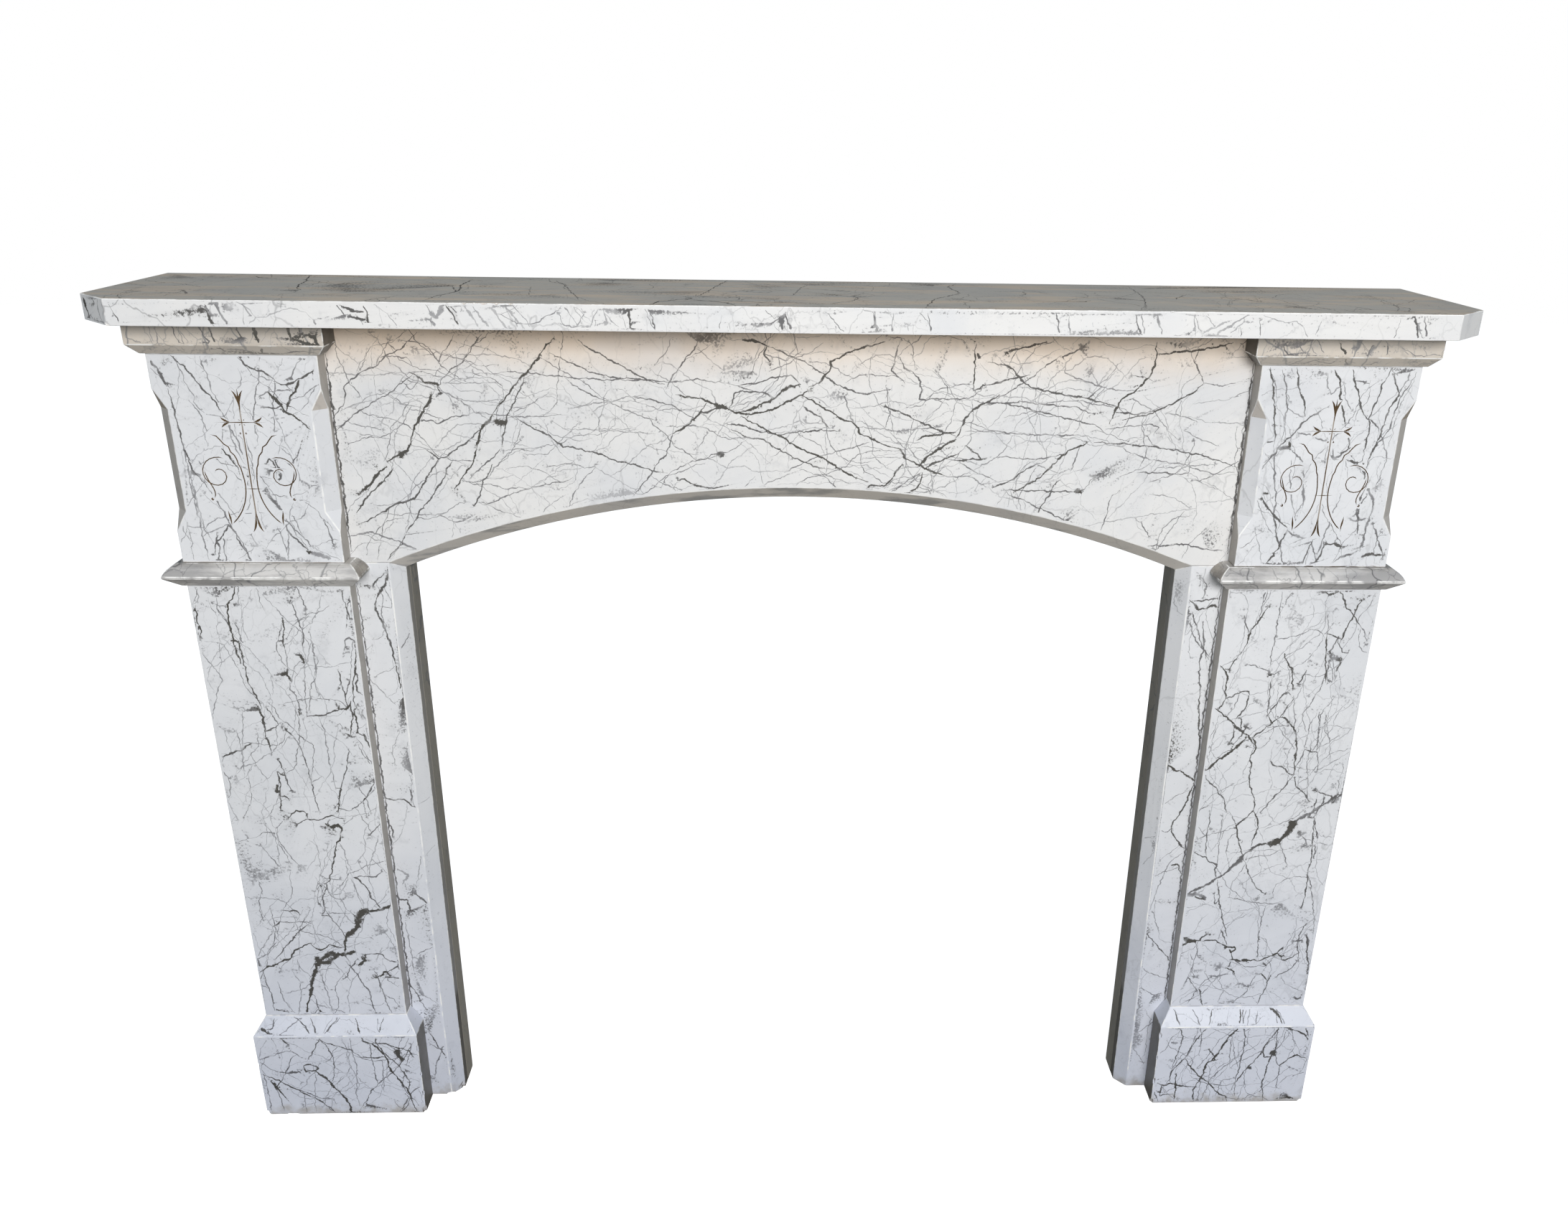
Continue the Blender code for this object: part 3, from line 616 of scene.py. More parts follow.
    "right_pilaster": ((525.0, 790.0, 0.6), """
4 .7 322,478 312,490 302,500
3 .6 302,500 290,510 278,520 262,535
4 .55 262,535 250,540 238,548 228,560
8.5 .85 224,562 222,572 218,580 214,588
4 .8 212,588 208,596 202,602
7.5 .85 202,604 194,607 186,610
3 .7 186,611 175,613 170,612
5 .75 170,612 163,613 156,615
3 .65 156,615 145,622 136,630 126,640 122,650
6 .6 122,650 114,660 106,668
3.2 .6 106,668 96,682 84,694 72,702
3.6 .6 72,702 60,712 50,720 38,728 22,733 12,742
5 .55 14,745 30,742 45,748 52,755
2.6 .75 30,750 42,755 50,757
5 .9 20,862 28,868 36,868 44,870
2.4 .85 18,880 28,874
2.4 .75 44,868 55,868 62,858 70,852
2 .7 60,870 75,868 88,868 100,874 112,880 120,886
2.2 .85 120,886 132,888 140,888 142,896 132,902 128,894
1.6 .75 132,902 136,912 138,920
2.4 .9 136,920 145,924 155,926
4 .9 164,924 172,925
1.8 .8 155,926 165,925 180,925 190,922 200,926 210,922 222,915 232,910
4 .85 232,910 240,905
1.8 .8 240,904 246,896 249,893
2.2 .85 242,906 250,914 256,912
1.8 .8 250,914 254,922 262,926 272,920 282,912 290,905
1.6 .65 100,840 106,850 112,862 120,880
1.9 .8 10,275 22,285 40,298 55,312 68,325 80,335 92,342 100,352 108,362 116,375
2.4 .85 8,430 22,420 38,402 55,388 72,375 82,360 92,348
1.6 .7 92,348 105,350 112,340 120,335 130,325 142,315 152,305 160,295 168,280 178,262 182,255
1.8 .8 105,350 112,360 117,370 112,385 107,392
1.6 .7 107,392 106,402 112,415 112,440 112,460 120,475 128,492 132,510 132,530
2.2 .7 158,300 168,302 178,312
1.8 .75 178,312 190,325 200,345 204,370 206,400 208,440
2.6 .75 205,385 206,405
1.5 .65 208,440 200,455 188,475 175,492 162,510 150,530
1.8 .65 152,405 160,415 172,418 182,420 192,432 208,440
1.5 .65 210,445 220,470 232,480 245,492 252,505
1.8 .7 225,378 240,382 252,385
1.2 .55 252,385 255,400 258,420 258,432
1.6 .7 210,15 218,22
1.6 .7 237,10 245,22 252,35 258,48 270,58 280,72 295,90
1.7 .75 288,35 280,52 275,75 268,92 262,110 258,130
1.1 .5 295,90 308,108 315,125
1.6 .75 228,108 230,125 232,150 236,175 240,200 243,220
1.6 .7 228,108 240,112 252,117
1.4 .65 252,117 245,138 240,148
1.3 .6 252,120 260,138 268,150 280,152
1.1 .5 222,70 228,90 228,108
1.1 .5 120,120 145,118 165,112 178,108 190,99 205,100 222,110 226,122
1.2 .55 120,40 122,60 118,85 122,105 119,130 118,160 119,182
1.8 .8 95,50 88,65 78,82 70,95 66,110 62,128 58,142
1.3 .6 50,70 55,88 64,105
1.2 .55 84,10 84,30 82,52 80,72
1.4 .65 58,142 52,155 40,170 34,188
1.9 .75 10,175 22,188 30,200 32,220 32,240 34,255 28,272 22,285
1.6 .7 34,255 50,250 60,245 70,240 82,240 85,248
1.8 .7 83,250 82,265 78,282 66,300 62,305
1.1 .5 62,245 58,265 55,280 42,298
1.5 .65 66,302 76,305 76,325
1.4 .65 88,325 80,342 70,358 65,365
3 .7 62,322 72,328 84,335
1.6 .7 62,325 62,345 58,360
1.3 .55 120,200 132,198 138,195
2.8 .8 118,202 124,202
1.5 .6 126,205 126,225 128,250 128,275 130,295
1.5 .65 130,298 138,280 148,262 155,248 165,240
3 .55 155,247 168,242 172,248
1.7 .75 145,152 150,165 158,180 168,190 170,200 172,220 175,238
2.6 .75 165,188 170,196
1.6 .65 198,190 192,205 186,222
1.1 .5 180,255 185,280 190,305 192,330 200,345
1.2 .55 70,178 85,180 100,188 118,192
2.6 .75 132,298 142,312
3.2 .85 141,312 143,314
1.2 .5 135,325 160,322 178,320
1 .45 160,325 172,342 180,350 192,365 202,378
1.2 .55 240,290 246,320 248,350 250,378
1 .45 252,285 262,320 272,350 280,385 284,410
1 .45 322,383 300,400 280,415 262,425 255,432
1.1 .5 236,292 225,320 223,350 222,378
1.2 .55 222,380 220,398 212,412 208,420
1.1 .5 232,350 236,380 232,410 240,440 245,480 250,510
2.2 .8 268,170 262,190
1 .45 250,165 255,185 260,205
1.3 .6 242,170 242,195 246,215
1.9 .65 305,510 312,498 322,488
7 .45 308,505 316,492 322,478
2.2 .65 266,480 280,486 300,492
1.8 .6 268,500 265,530 258,545
1.8 .6 285,495 282,515 272,535
1.5 .65 8,430 18,448 30,462 42,472 50,485 62,495 66,515 72,530
1.2 .6 8,530 20,522 30,515
1.1 .5 78,530 90,550 100,565
1.8 .75 130,530 118,545 100,565 104,590 112,610 120,635 122,648
1.8 .75 132,530 142,545 148,560 146,580 142,600 140,618
1.3 .65 126,652 135,668 142,685 152,705 165,725 180,738 192,746
1.2 .55 205,615 215,635 222,655 230,675
1.3 .6 35,530 38,555 36,590 38,615 42,645
1.6 .65 12,632 22,640 35,645 42,645 50,658 60,662 68,668
2 .6 60,662 68,665 66,680 72,700
1.4 .65 75,705 80,730 86,755 88,770 95,790 102,815 110,838 118,860
1.4 .6 72,742 78,770 85,760
1.1 .5 66,540 66,570 66,600 68,640 70,665
1.2 .5 85,630 88,600 92,590 100,585
1.1 .5 15,600 35,590 55,585 70,580 95,572
1 .45 10,565 25,580 32,590
1.3 .5 105,752 125,756 145,762 165,765 180,768 200,770 225,768
1.2 .55 195,775 192,800 190,820 190,850 191,880 195,905 200,925
2.2 .7 190,858 192,868
1.6 .65 270,555 275,580 275,605 280,635 280,665 278,690
1.6 .65 278,690 281,720 281,750 278,785
1.2 .55 280,695 290,720 298,750 305,780 312,810 316,840
1.6 .6 285,620 285,650
1.3 .55 248,590 258,602 265,615
1.5 .6 270,545 280,580 286,598
1.4 .6 298,820 290,840 284,860 284,880 290,905 294,930
2 .7 302,850 306,870 308,890 312,910 318,935 322,965
3 .55 300,855 305,865 310,875
2.2 .6 274,872 285,872 292,870
1.3 .6 295,920 285,938 272,955 255,965 240,978
1.5 .65 235,965 230,985 228,1000 220,1025 214,1050
1.8 .75 212,962 218,970 228,982
1.3 .55 200,965 192,980 190,995
1.2 .55 186,1000 182,1018 165,1032 155,1042
2.2 .85 128,945 135,950 145,953 148,962
1.8 .65 135,928 132,940
2.2 .5 95,968 108,968 118,965 130,962
1.3 .55 95,970 82,978 75,990 70,1000
1.6 .65 70,1000 74,1015 80,1035 84,1050
1.3 .6 40,970 50,985 60,998 70,1018
1.2 .55 62,1010 55,1030 48,1045
1.1 .5 52,880 54,900 48,925 46,950 40,970
1.2 .55 38,905 44,920
3.6 .7 215,935 218,938
2.4 .6 300,1030 305,1035 312,1034
"""),
    "left_block": ((-727.0, 1064.0, 0.25), """
3.2 .6 38,40 60,70 80,100 100,155
1.6 .65 108,180 112,230 120,280 122,340 128,400 135,460 150,540 165,570 185,600 210,640
1.6 .55 210,640 225,670 245,710 262,745 275,800 300,850 330,920 355,990
1.4 .5 130,420 135,520 132,600 138,700 145,800 150,900 158,990
1.3 .45 140,560 145,650 150,740 165,840 190,900
1.8 .65 145,32 170,60 195,75 210,105 230,135 255,170 275,195 300,230 325,280
1.4 .5 325,280 345,330 360,380 380,420 390,480
1.3 .5 270,35 280,90 290,130 300,190 320,240
1.3 .5 190,230 215,265 235,310 248,370
1.8 .65 440,35 455,60 480,80 510,95 545,105 575,125 590,150
1.8 .7 590,150 620,160 650,150 690,130 720,120 760,90
1.2 .55 655,125 680,80 710,45
2.6 .9 690,130 680,165 660,195 640,210 628,240 615,275
1.2 .5 500,215 530,195 560,185 610,185 650,178
2.6 .8 545,190 565,215 585,240 605,275 622,285 640,295
1.8 .8 640,295 665,315 690,345 705,358
1.6 .75 705,358 740,370 780,372 795,385
2.2 .6 540,260 555,270 575,262 590,255
1.8 .6 595,270 600,285 610,280
1.2 .55 520,90 510,140 490,200 475,250 465,300 460,380
1.2 .5 582,140 575,180 560,240 555,320 548,390
1.3 .45 345,300 355,350 350,400 370,470 390,520
2 .75 300,450 330,490 350,530 370,560 410,590
1.4 .6 595,525 615,505 632,488
1.8 .7 490,520 505,495 520,510 530,540
2.2 .6 500,555 525,552 550,575
2.4 .65 530,505 540,540 545,590 525,605
3.4 .5 430,640 450,650 470,640
4.6 .55 475,665 490,690 510,720 528,740
2 .6 528,740 540,770 535,800 545,850 570,880 600,910 625,940
4 .85 622,946 626,948
5 .45 640,950 665,955 690,965 715,975
1.4 .5 520,760 560,820 600,860 620,890 650,930
1.2 .5 575,770 590,810 600,850
1.3 .5 545,840 540,880 530,930 522,990
1.2 .5 495,820 510,880 522,930
1.2 .5 350,775 330,795 300,805 280,812 240,825 190,845 150,870
1.6 .65 275,815 250,850 225,880 200,910 190,960
1.4 .6 275,815 295,850 310,890 330,940 350,990
1.8 .6 215,850 210,890 215,930 200,985
1.4 .55 245,890 235,930 238,990
3 .5 150,565 165,572 175,575
1.2 .4 85,820 120,828 160,830
1.1 .45 680,625 710,620
1.6 .55 715,790 730,850 745,910
1.1 .4 550,680 600,690 660,700
1.1 .4 370,860 380,890 388,910
"""),
    "right_block": ((523.0, 1064.0, 0.25), """
1.8 .7 72,35 85,80 100,130 112,190 122,250 132,310 145,370
2.6 .65 90,385 115,382 140,378
1.4 .55 130,45 145,90 162,130 170,180 178,240 180,300
1.7 .7 195,35 210,85 220,130 240,170 258,200 268,260
1.7 .6 370,215 330,235 290,265 255,300 225,345 195,375 165,405 150,440 120,480 95,525
4.2 .55 165,410 190,412 215,408
1.6 .55 150,440 160,500 165,560 185,620 190,680 190,740 205,800
2.2 .7 120,655 145,685 165,710 185,735 215,760 245,785 265,800
1.6 .65 190,740 210,800 220,840 235,880
1.9 .7 265,815 250,860 240,900 215,940 190,985
1.5 .55 235,870 255,920 262,960 275,985
2.6 .55 270,815 300,835 330,848 350,852
4.2 .95 331,776 332,788
3 .9 128,632 145,630
3.2 .8 218,388 218,402
2 .75 365,30 385,60 405,95 415,130 425,190 440,230 455,260 465,300
1.7 .7 465,300 480,330 490,360 500,410 520,450
1.8 .7 445,30 465,60 480,110 505,160 520,200 535,235 545,250
1.5 .6 545,250 575,275 600,290 625,315 632,335
1.6 .65 635,30 625,70 605,115 602,150 590,190 580,240 570,270 585,320 575,400 575,470
2 .7 650,50 665,95 685,130 690,160 670,200 655,240 645,290 640,350 620,400 610,440 600,500
1.3 .55 725,45 720,85 705,120 690,150
1.3 .55 755,50 735,110 700,170 690,230 680,290 670,330 645,370 615,420
1.2 .5 640,340 665,390 685,440 692,470
1.1 .45 635,380 660,360 690,345
4 .5 540,480 560,490 580,500 600,520
2.2 .7 500,465 530,475 555,480 590,505 602,540 600,600
3 .55 425,450 440,460 460,445 480,430
1.8 .7 470,430 485,425 505,408
2 .55 420,375 415,400 425,420 430,440
1.4 .5 250,340 300,345 340,365 385,375
1.4 .55 230,420 250,440 275,460 300,500
2.4 .5 300,520 310,560 315,620 325,680
1.3 .5 235,470 240,540 255,620 275,690 300,760
2 .6 600,600 595,650 600,720 605,780 612,830
3.4 .5 600,600 630,610 650,640 665,680
2.4 .55 665,680 660,740 650,800 645,860 640,920
2 .55 625,640 605,680 580,740
1.8 .6 680,780 700,820 720,860 745,910 755,940
2 .5 560,750 590,770 620,760 640,750
1.4 .5 500,630 490,680 475,730 465,780 455,830 440,900 430,960
2.4 .65 460,885 455,920 440,955 430,975
2.8 .7 470,880 490,885 510,878 545,895
1.6 .6 400,860 390,900 375,940 370,975
1.6 .55 390,870 415,920 430,960
2.4 .6 525,970 550,945 575,940 600,935
3 .7 670,935 700,930 730,940 755,935
1.4 .55 475,92 510,98 545,103
1.2 .45 345,60 350,110 375,160 395,130 430,105
1.2 .45 100,665 120,700 140,750 165,790 200,830
1.1 .4 110,810 130,870 155,930 165,985
1.2 .45 180,220 215,245 250,262
"""),
    "left_plinth": ((-740.0, 160.0, 0.4), """
1.3 .65 190,0 210,30 235,75 255,110 270,150 268,200 262,240 250,262
1.3 .65 300,0 275,35 235,75 215,110 195,145 180,170
2 .9 345,0 365,45 380,85 410,100 435,130 450,155 455,200 480,250 505,290 515,330 530,395
1.3 .6 380,85 400,100 400,150 403,190 405,240 410,275
1.6 .75 410,95 460,100 490,115 530,130 545,160
1.5 .7 455,0 440,30 435,60 420,90 440,130 470,170 490,195 505,230 520,270 510,300 515,330
1.3 .6 550,90 520,145 490,195 450,235 410,270 385,300 360,345 335,385
1.4 .65 145,10 180,30 210,70 240,85 285,105 330,120 365,155
2 .7 365,155 400,158 430,155 450,155
2.6 .85 30,35 60,55
1.4 .6 60,55 100,60 125,95
2.2 .8 108,72 125,98
1.2 .5 100,60 130,40 190,0
1.4 .6 80,0 75,40 55,45
1.3 .5 15,165 60,145 100,130 135,125 150,140 165,155
1.2 .5 15,165 45,195 75,215
1.7 .75 10,215 50,240 85,260 125,290 170,320 205,345 235,375 245,390
1.3 .6 150,140 125,160 110,200 95,230 75,260 60,280 65,320 70,345 75,390
1.3 .55 85,265 150,300 205,330 250,335 255,360
2.2 .75 165,190 170,215 200,210 215,200 185,180 165,190
3.2 .9 200,210 240,250 262,290
2.6 .85 262,290 290,330 300,360 305,395
1.3 .6 250,262 270,300 290,330
1.2 .5 340,60 335,120 345,180 340,250 330,310 335,370
1.2 .5 290,110 265,140
7 .95 490,132 494,150 502,166
1.2 .5 540,100 530,150 515,190
1.2 .5 425,300 430,250 435,170
1.6 .75 510,330 480,385
1.3 .6 560,280 530,300 510,330
1.3 .65 515,330 500,370 475,395
1.2 .5 25,220 30,300 30,390
4.6 .9 58,278 64,284
2.6 .7 359,358 362,362
3 .6 80,215 100,218 150,215
1.1 .45 150,300 150,390
"""),
    "right_plinth": ((510.0, 160.0, 0.4), """
1.4 .65 55,0 80,55 95,105 90,160 80,195 75,240
1.5 .7 205,0 185,55 150,110 125,165 115,200 75,250 70,290 75,310
2.3 .9 295,0 300,30 285,75 260,110 240,150 235,175 215,205 195,225 190,260 180,295 165,330
1.8 .8 165,330 160,345 165,385
1.7 .8 195,160 215,190 225,210 205,215
1.7 .85 115,200 140,240 170,275 200,300 235,335 260,365 285,375 290,395
1.5 .65 310,0 305,60 320,120 318,180 315,240 310,290 310,330 315,370
1.2 .5 275,80 270,140 275,200 280,240
2.6 .9 365,0 400,10 425,25 440,45 455,68
1.7 .7 425,25 430,75 415,110 395,145 385,185 350,235 325,280 305,320 300,345
1.7 .7 430,75 435,150 425,190 415,230 415,270 405,310 415,350 420,395
1.9 .8 395,145 390,180 400,200 440,190
1.2 .55 460,90 455,140 435,170 445,215 460,240 462,300 460,355
1.9 .8 460,235 490,205 515,190 550,205
2.2 .8 450,65 500,85 535,105 565,145
1.5 .7 550,40 530,70 545,110
6 .75 350,244 355,248
7 .8 424,176 430,182
2.8 .7 38,350 42,353
2 .8 10,260 25,310 60,320 75,310 100,320 150,328 165,330
2.3 .9 90,265 95,320 97,380
1.5 .75 45,320 40,370 55,360 95,360
1.3 .6 10,320 30,370 40,395
1.2 .55 120,0 150,50 160,90 165,160
1.2 .5 150,50 140,110 120,200
1.2 .55 340,0 320,60
1.3 .55 360,20 350,60 310,85
1.2 .5 250,60 255,75 290,85
1.3 .55 295,200 280,220 240,260 215,300 195,390
1.2 .5 300,290 260,300 250,340 245,370
1.1 .45 185,300 180,390
1.2 .5 470,80 440,30 410,0
5 .5 60,130 75,132
3 .85 512,382 522,382
"""),
    # The left jamb's first row is a painted shadow line in the corner beside the pilaster, not a vein.
    "left_jamb": ((-535.0, 810.0, 0.6), """
2 .6 11,30 11,400 11,800 11,1215
3.4 .7 75,20 70,45 60,60 48,78
2.4 .65 48,78 40,95 45,115 50,130 62,175 65,200 68,225
1.6 .75 68,225 70,250 75,300 80,345
1.8 .65 66,30 50,42 42,55
1.2 .5 75,205 90,180 108,155
1 .45 8,255 30,285 58,320
1.6 .7 8,542 30,546 50,545 65,560 78,566
2 .55 66,520 70,535 66,550
1.2 .5 78,380 78,450 74,520 76,560
1.8 .6 8,600 18,615 16,640
3.2 .4 20,722 40,738 25,760
2.2 .65 12,800 30,800 34,830
2.2 .6 50,785 66,800 78,825
1.2 .45 20,860 24,930 26,1000
1.1 .45 30,955 40,962
1.4 .65 8,1018 20,1045 34,1080 42,1100
1.1 .4 40,1060 70,1085
1.5 .65 42,1165 56,1200 68,1225 84,1265
1.4 .55 82,1190 68,1215 50,1260 42,1300
1.6 .5 40,1200 62,1215 78,1218
1 .45 55,762 66,720 78,660
"""),
    # The right jamb's first row is a painted shadow line in the corner beside the pilaster, not a vein.
    "right_jamb": ((465.0, 810.0, 0.6), """
2 .6 105,30 105,400 105,800 105,1215
2.8 .75 42,80 55,92 62,100 80,98 90,92 104,96
1.8 .6 52,82 80,80 100,76
1.5 .6 50,105 60,130 72,160 84,190 100,215
2 .6 76,130 82,160 86,195 80,220 84,250 90,290
1.8 .7 90,290 92,330 98,370 106,425
2 .55 60,30 75,45 70,75
1.6 .55 48,120 56,155 78,185 100,208
2.8 .9 42,467 56,474 60,482 70,480
2.2 .85 70,480 84,490 96,500 106,505
2 .75 106,512 96,540 90,570 78,595 68,612 68,632
1.9 .7 68,632 78,650 92,668 106,680
1.2 .5 40,630 58,636 68,625
1.3 .45 100,690 76,710 62,750 50,800 42,845
2 .8 78,722 92,720 104,745
1 .5 50,845 62,880 70,902
1.4 .65 42,905 66,935 88,960 106,985
1.1 .55 40,1000 62,1018 90,1028 106,1032
1.1 .5 42,1058 80,1080
1.2 .45 50,1190 78,1165 104,1140
1.4 .5 44,1235 60,1258 74,1278
3 .4 64,1275 76,1280
"""),
    "shelf_left_half": ((-740.0, 1128.0, 0.375), """
2.2 .74 316,38 325,60 334,86
1.7 .56 316,14 322,35 330,55
1.9 .51 345,20 350,40 365,60 372,86
3.5 .47 345,21 358,24 370,26
1.3 .47 420,22 440,55
2.1 .47 612,65 622,86
1.3 .56 675,14 690,35 700,50
2.8 .7 700,28 725,38 745,40
2.8 .7 735,60 748,62 756,62
1.9 .74 752,14 762,40 765,72 758,62
4.1 .42 940,40 955,58 965,40 974,20
2.1 .47 935,60 950,80 945,86
1.7 .7 984,18 1000,45 1012,70 1018,90
1.7 .56 1000,25 1006,33 1012,40
2.1 .33 1035,20 1060,60 1080,90
2.1 .37 1060,22 1085,60 1105,92
2.1 .28 1110,25 1130,52 1150,82
1.9 .33 1150,22 1175,50 1200,82
1 .42 1172,18 1190,40
1.2 .42 1300,40 1310,70 1330,78 1360,72
1.1 .42 1350,70 1365,50 1370,35
1.1 .42 1385,75 1395,45 1410,26
1.1 .37 1425,26 1432,60
2.1 .7 1495,26 1500,55 1495,70 1512,95
2.4 .56 1490,90 1498,75 1505,60
1.2 .56 1555,28 1562,55 1575,95
2.8 .42 1870,85 1880,93 1895,90
1.7 .56 1900,60 1925,45 1940,33
4.1 .6 1930,45 1932,70 1945,95
2.8 .6 1940,38 1955,70 1970,95
"""),
    "shelf_right_half": ((0.25, 1128.0, 0.375), """
6.2 .6 215,66 222,80 230,94
2.1 .56 218,28 224,55 232,94
1.3 .47 275,28 272,70 272,94
1.3 .56 373,26 380,60 382,92
1 .37 110,70 115,92
1.6 .56 742,22 752,50 758,93
1.2 .47 778,24 788,82
1.7 .56 973,22 985,60 998,92
1.3 .47 988,22 1000,60 1010,92
2.1 .47 985,75 1000,88
1.6 .47 1036,22 1055,75 1062,92
1.3 .37 1143,22 1150,60
2.1 .42 1200,92 1225,65 1255,50 1300,20
1.7 .47 1195,90 1215,78 1235,85
2.1 .33 1180,70 1210,54 1240,40
1.3 .37 1240,92 1265,65 1290,40
2.1 .66 1790,18 1802,50 1812,75 1820,92
1.6 .56 1820,18 1832,60 1836,92
1.3 .47 1805,40 1815,65
"""),
    "shelf_top": ((-775.0, 122.0, 1.0, 0.5), """
1.4 .8 180,10 185,60 192,110 198,150 200,200 210,270 222,310
1.1 .6 185,100 215,150 240,190
1.6 .8 382,60 382,130 382,180 388,230 392,270 390,320 380,380 378,430
1.2 .6 375,200 385,260 392,300
1.2 .6 470,20 478,90 495,120 505,180 512,230 518,280 530,350 538,420
.9 .5 465,190 470,260 478,350
1.2 .7 690,10 684,80 678,150 675,200 670,260 665,320 662,350
2.2 .7 650,340 658,370 640,400 625,430 618,480
2.2 .6 655,390 680,410 700,440 710,480
1.8 .6 700,400 740,425 760,420
1.4 .6 810,430 835,380 845,340 840,290
1.8 .6 820,280 845,310
1.1 .5 790,80 780,150 775,230 770,300
1.3 .7 975,20 960,90 965,170 968,210 950,270 930,330 925,380 918,430 912,485
1.1 .6 1190,40 1185,170 1182,230 1175,300 1165,380 1158,440
1.4 .6 1045,170 1045,220 1035,240
2.2 .6 1040,340 1070,345 1100,345 1110,320
2.2 .5 1120,262 1132,266 1145,268
2.9 .5 1275,230 1300,270 1310,310
1.1 .6 1240,190 1220,250 1215,280
.9 .5 1468,230 1462,320 1452,390 1435,450
2 .6 120,50 130,75 145,88
1.8 .5 1210,430 1240,460 1280,480
2.2 .5 95,330 110,370 115,400
1.4 .5 340,380 325,430 315,480
1.4 .5 10,228 40,260
1.8 .5 40,350 60,360 50,390
2.2 .5 1340,385 1355,370
2.2 .5 1405,375 1415,420
"""),
    "left_cap": ((-735.0, 1096.0, 1.0), """
1.2 .5 33,1 34,15 35,22
1.2 .5 41,1 40,18 40,26 45,34
1.4 .6 57,1 59,13 62,21 64,34
1.6 .6 85,1 90,15 95,23 91,34
1.9 .7 97,1 99,15 101,21 107,33
1.1 .7 92,23 97,26 99,30 107,31
1.2 .65 108,25 104,28 100,26 95,31
1.4 .5 117,23 118,31
1.4 .7 125,1 128,12 130,17
3.2 .85 145,1 146,14 147,19
2.2 .8 147,19 148,27 147,36
2.6 .85 180,1 182,13 183,18
1.4 .7 193,1 194,12
2.6 .9 209,17 210,21 211,25
1.2 .6 169,36 181,34 190,32 206,35
1.1 .45 6,18 19,24 34,29
1 .4 66,12 72,21 75,32
"""),
    "right_cap": ((515.0, 1096.0, 1.0), """
1.4 .6 31,14 35,19 39,24
1.2 .5 50,14 53,17 56,21
1.9 .85 97,11 99,16 104,20 107,31 113,36
1.4 .6 133,13 132,19 130,24
1.4 .6 151,11 152,19 152,26
1 .55 60,35 71,31 91,34 99,29
1.3 .6 139,35 143,32
1 .45 63,14 71,23 81,29
.9 .4 166,13 175,21 185,30
1 .45 193,15 200,26 209,31
"""),
    "shelf_left_cant": ((-771.0, 1124.0, 1.0), """
4 .85 7,7 8,13
2.5 .75 8,14 11,19 12,24
2.4 .65 26,3 28,8
2 .6 15,22 20,26
1.2 .5 36,2 33,12 38,26
"""),
}


def add_camera():
    """Camera at the photograph's place and angle."""
    pitch, yaw, roll = CAMERA_PITCH, CAMERA_YAW, CAMERA_ROLL
    forward = Vector((math.sin(yaw) * math.cos(pitch), math.cos(yaw) * math.cos(pitch), -math.sin(pitch)))
    level_right = Vector((math.cos(yaw), -math.sin(yaw), 0.0))
    level_up = level_right.cross(forward)
    right = level_right * math.cos(roll) + level_up * math.sin(roll)
    up = level_up * math.cos(roll) - level_right * math.sin(roll)
    data = bpy.data.cameras.new("camera")
    data.sensor_width = SENSOR_WIDTH
    data.lens = FOCAL_PIXELS / IMAGE_WIDTH * SENSOR_WIDTH
    data.shift_x = -PRINCIPAL_SHIFT_PIXELS / IMAGE_WIDTH
    data.clip_end = CAMERA_REACH
    camera = bpy.data.objects.new("camera", data)
    turn = Matrix((right, up, -forward)).transposed().to_4x4()
    camera.matrix_world = Matrix.Translation(CAMERA_PLACE) @ turn
    bpy.context.scene.collection.objects.link(camera)
    bpy.context.scene.camera = camera


def add_area(name, place, target, size, power, colour):
    """Soft rectangular light aimed at a point."""
    data = bpy.data.lights.new(name, "AREA")
    data.shape = "RECTANGLE"
    data.size, data.size_y = size
    data.energy = power
    data.color = colour
    light = bpy.data.objects.new(name, data)
    light.location = place
    light.rotation_euler = (Vector(target) - Vector(place)).to_track_quat("-Z", "Y").to_euler()
    bpy.context.scene.collection.objects.link(light)


def add_floor():
    """Plain pale floor."""
    mesh = bpy.data.meshes.new("floor")
    body = bmesh.new()
    bmesh.ops.create_grid(body, x_segments=1, y_segments=1, size=FLOOR_HALF)
    body.to_mesh(mesh)
    body.free()
    floor = bpy.data.objects.new("floor", mesh)
    floor.location.z = -FLOOR_GAP
    bpy.context.scene.collection.objects.link(floor)
    material = bpy.data.materials.new("floor")
    material.use_nodes = True
    tree = material.node_tree
    seen = tree.nodes["Principled BSDF"]
    seen.inputs["Base Color"].default_value = FLOOR_PALE
    seen.inputs["Roughness"].default_value = FLOOR_ROUGHNESS
    seen.inputs["Emission Color"].default_value = FLOOR_PALE
    seen.inputs["Emission Strength"].default_value = FLOOR_GLOW
    bounced = tree.nodes.new("ShaderNodeBsdfDiffuse")
    bounced.inputs["Color"].default_value = FLOOR_BOUNCE
    blend_for_camera(tree, bounced.outputs[0], seen.outputs[0], tree.nodes["Material Output"])
    floor.data.materials.append(material)


def blend_for_camera(tree, elsewhere, seen, output):
    """What is seen directly, and the dimmer version that lights the stone."""
    path = tree.nodes.new("ShaderNodeLightPath")
    blend = tree.nodes.new("ShaderNodeMixShader")
    tree.links.new(path.outputs["Is Camera Ray"], blend.inputs[0])
    tree.links.new(elsewhere, blend.inputs[1])
    tree.links.new(seen, blend.inputs[2])
    tree.links.new(blend.outputs[0], output.inputs[0])


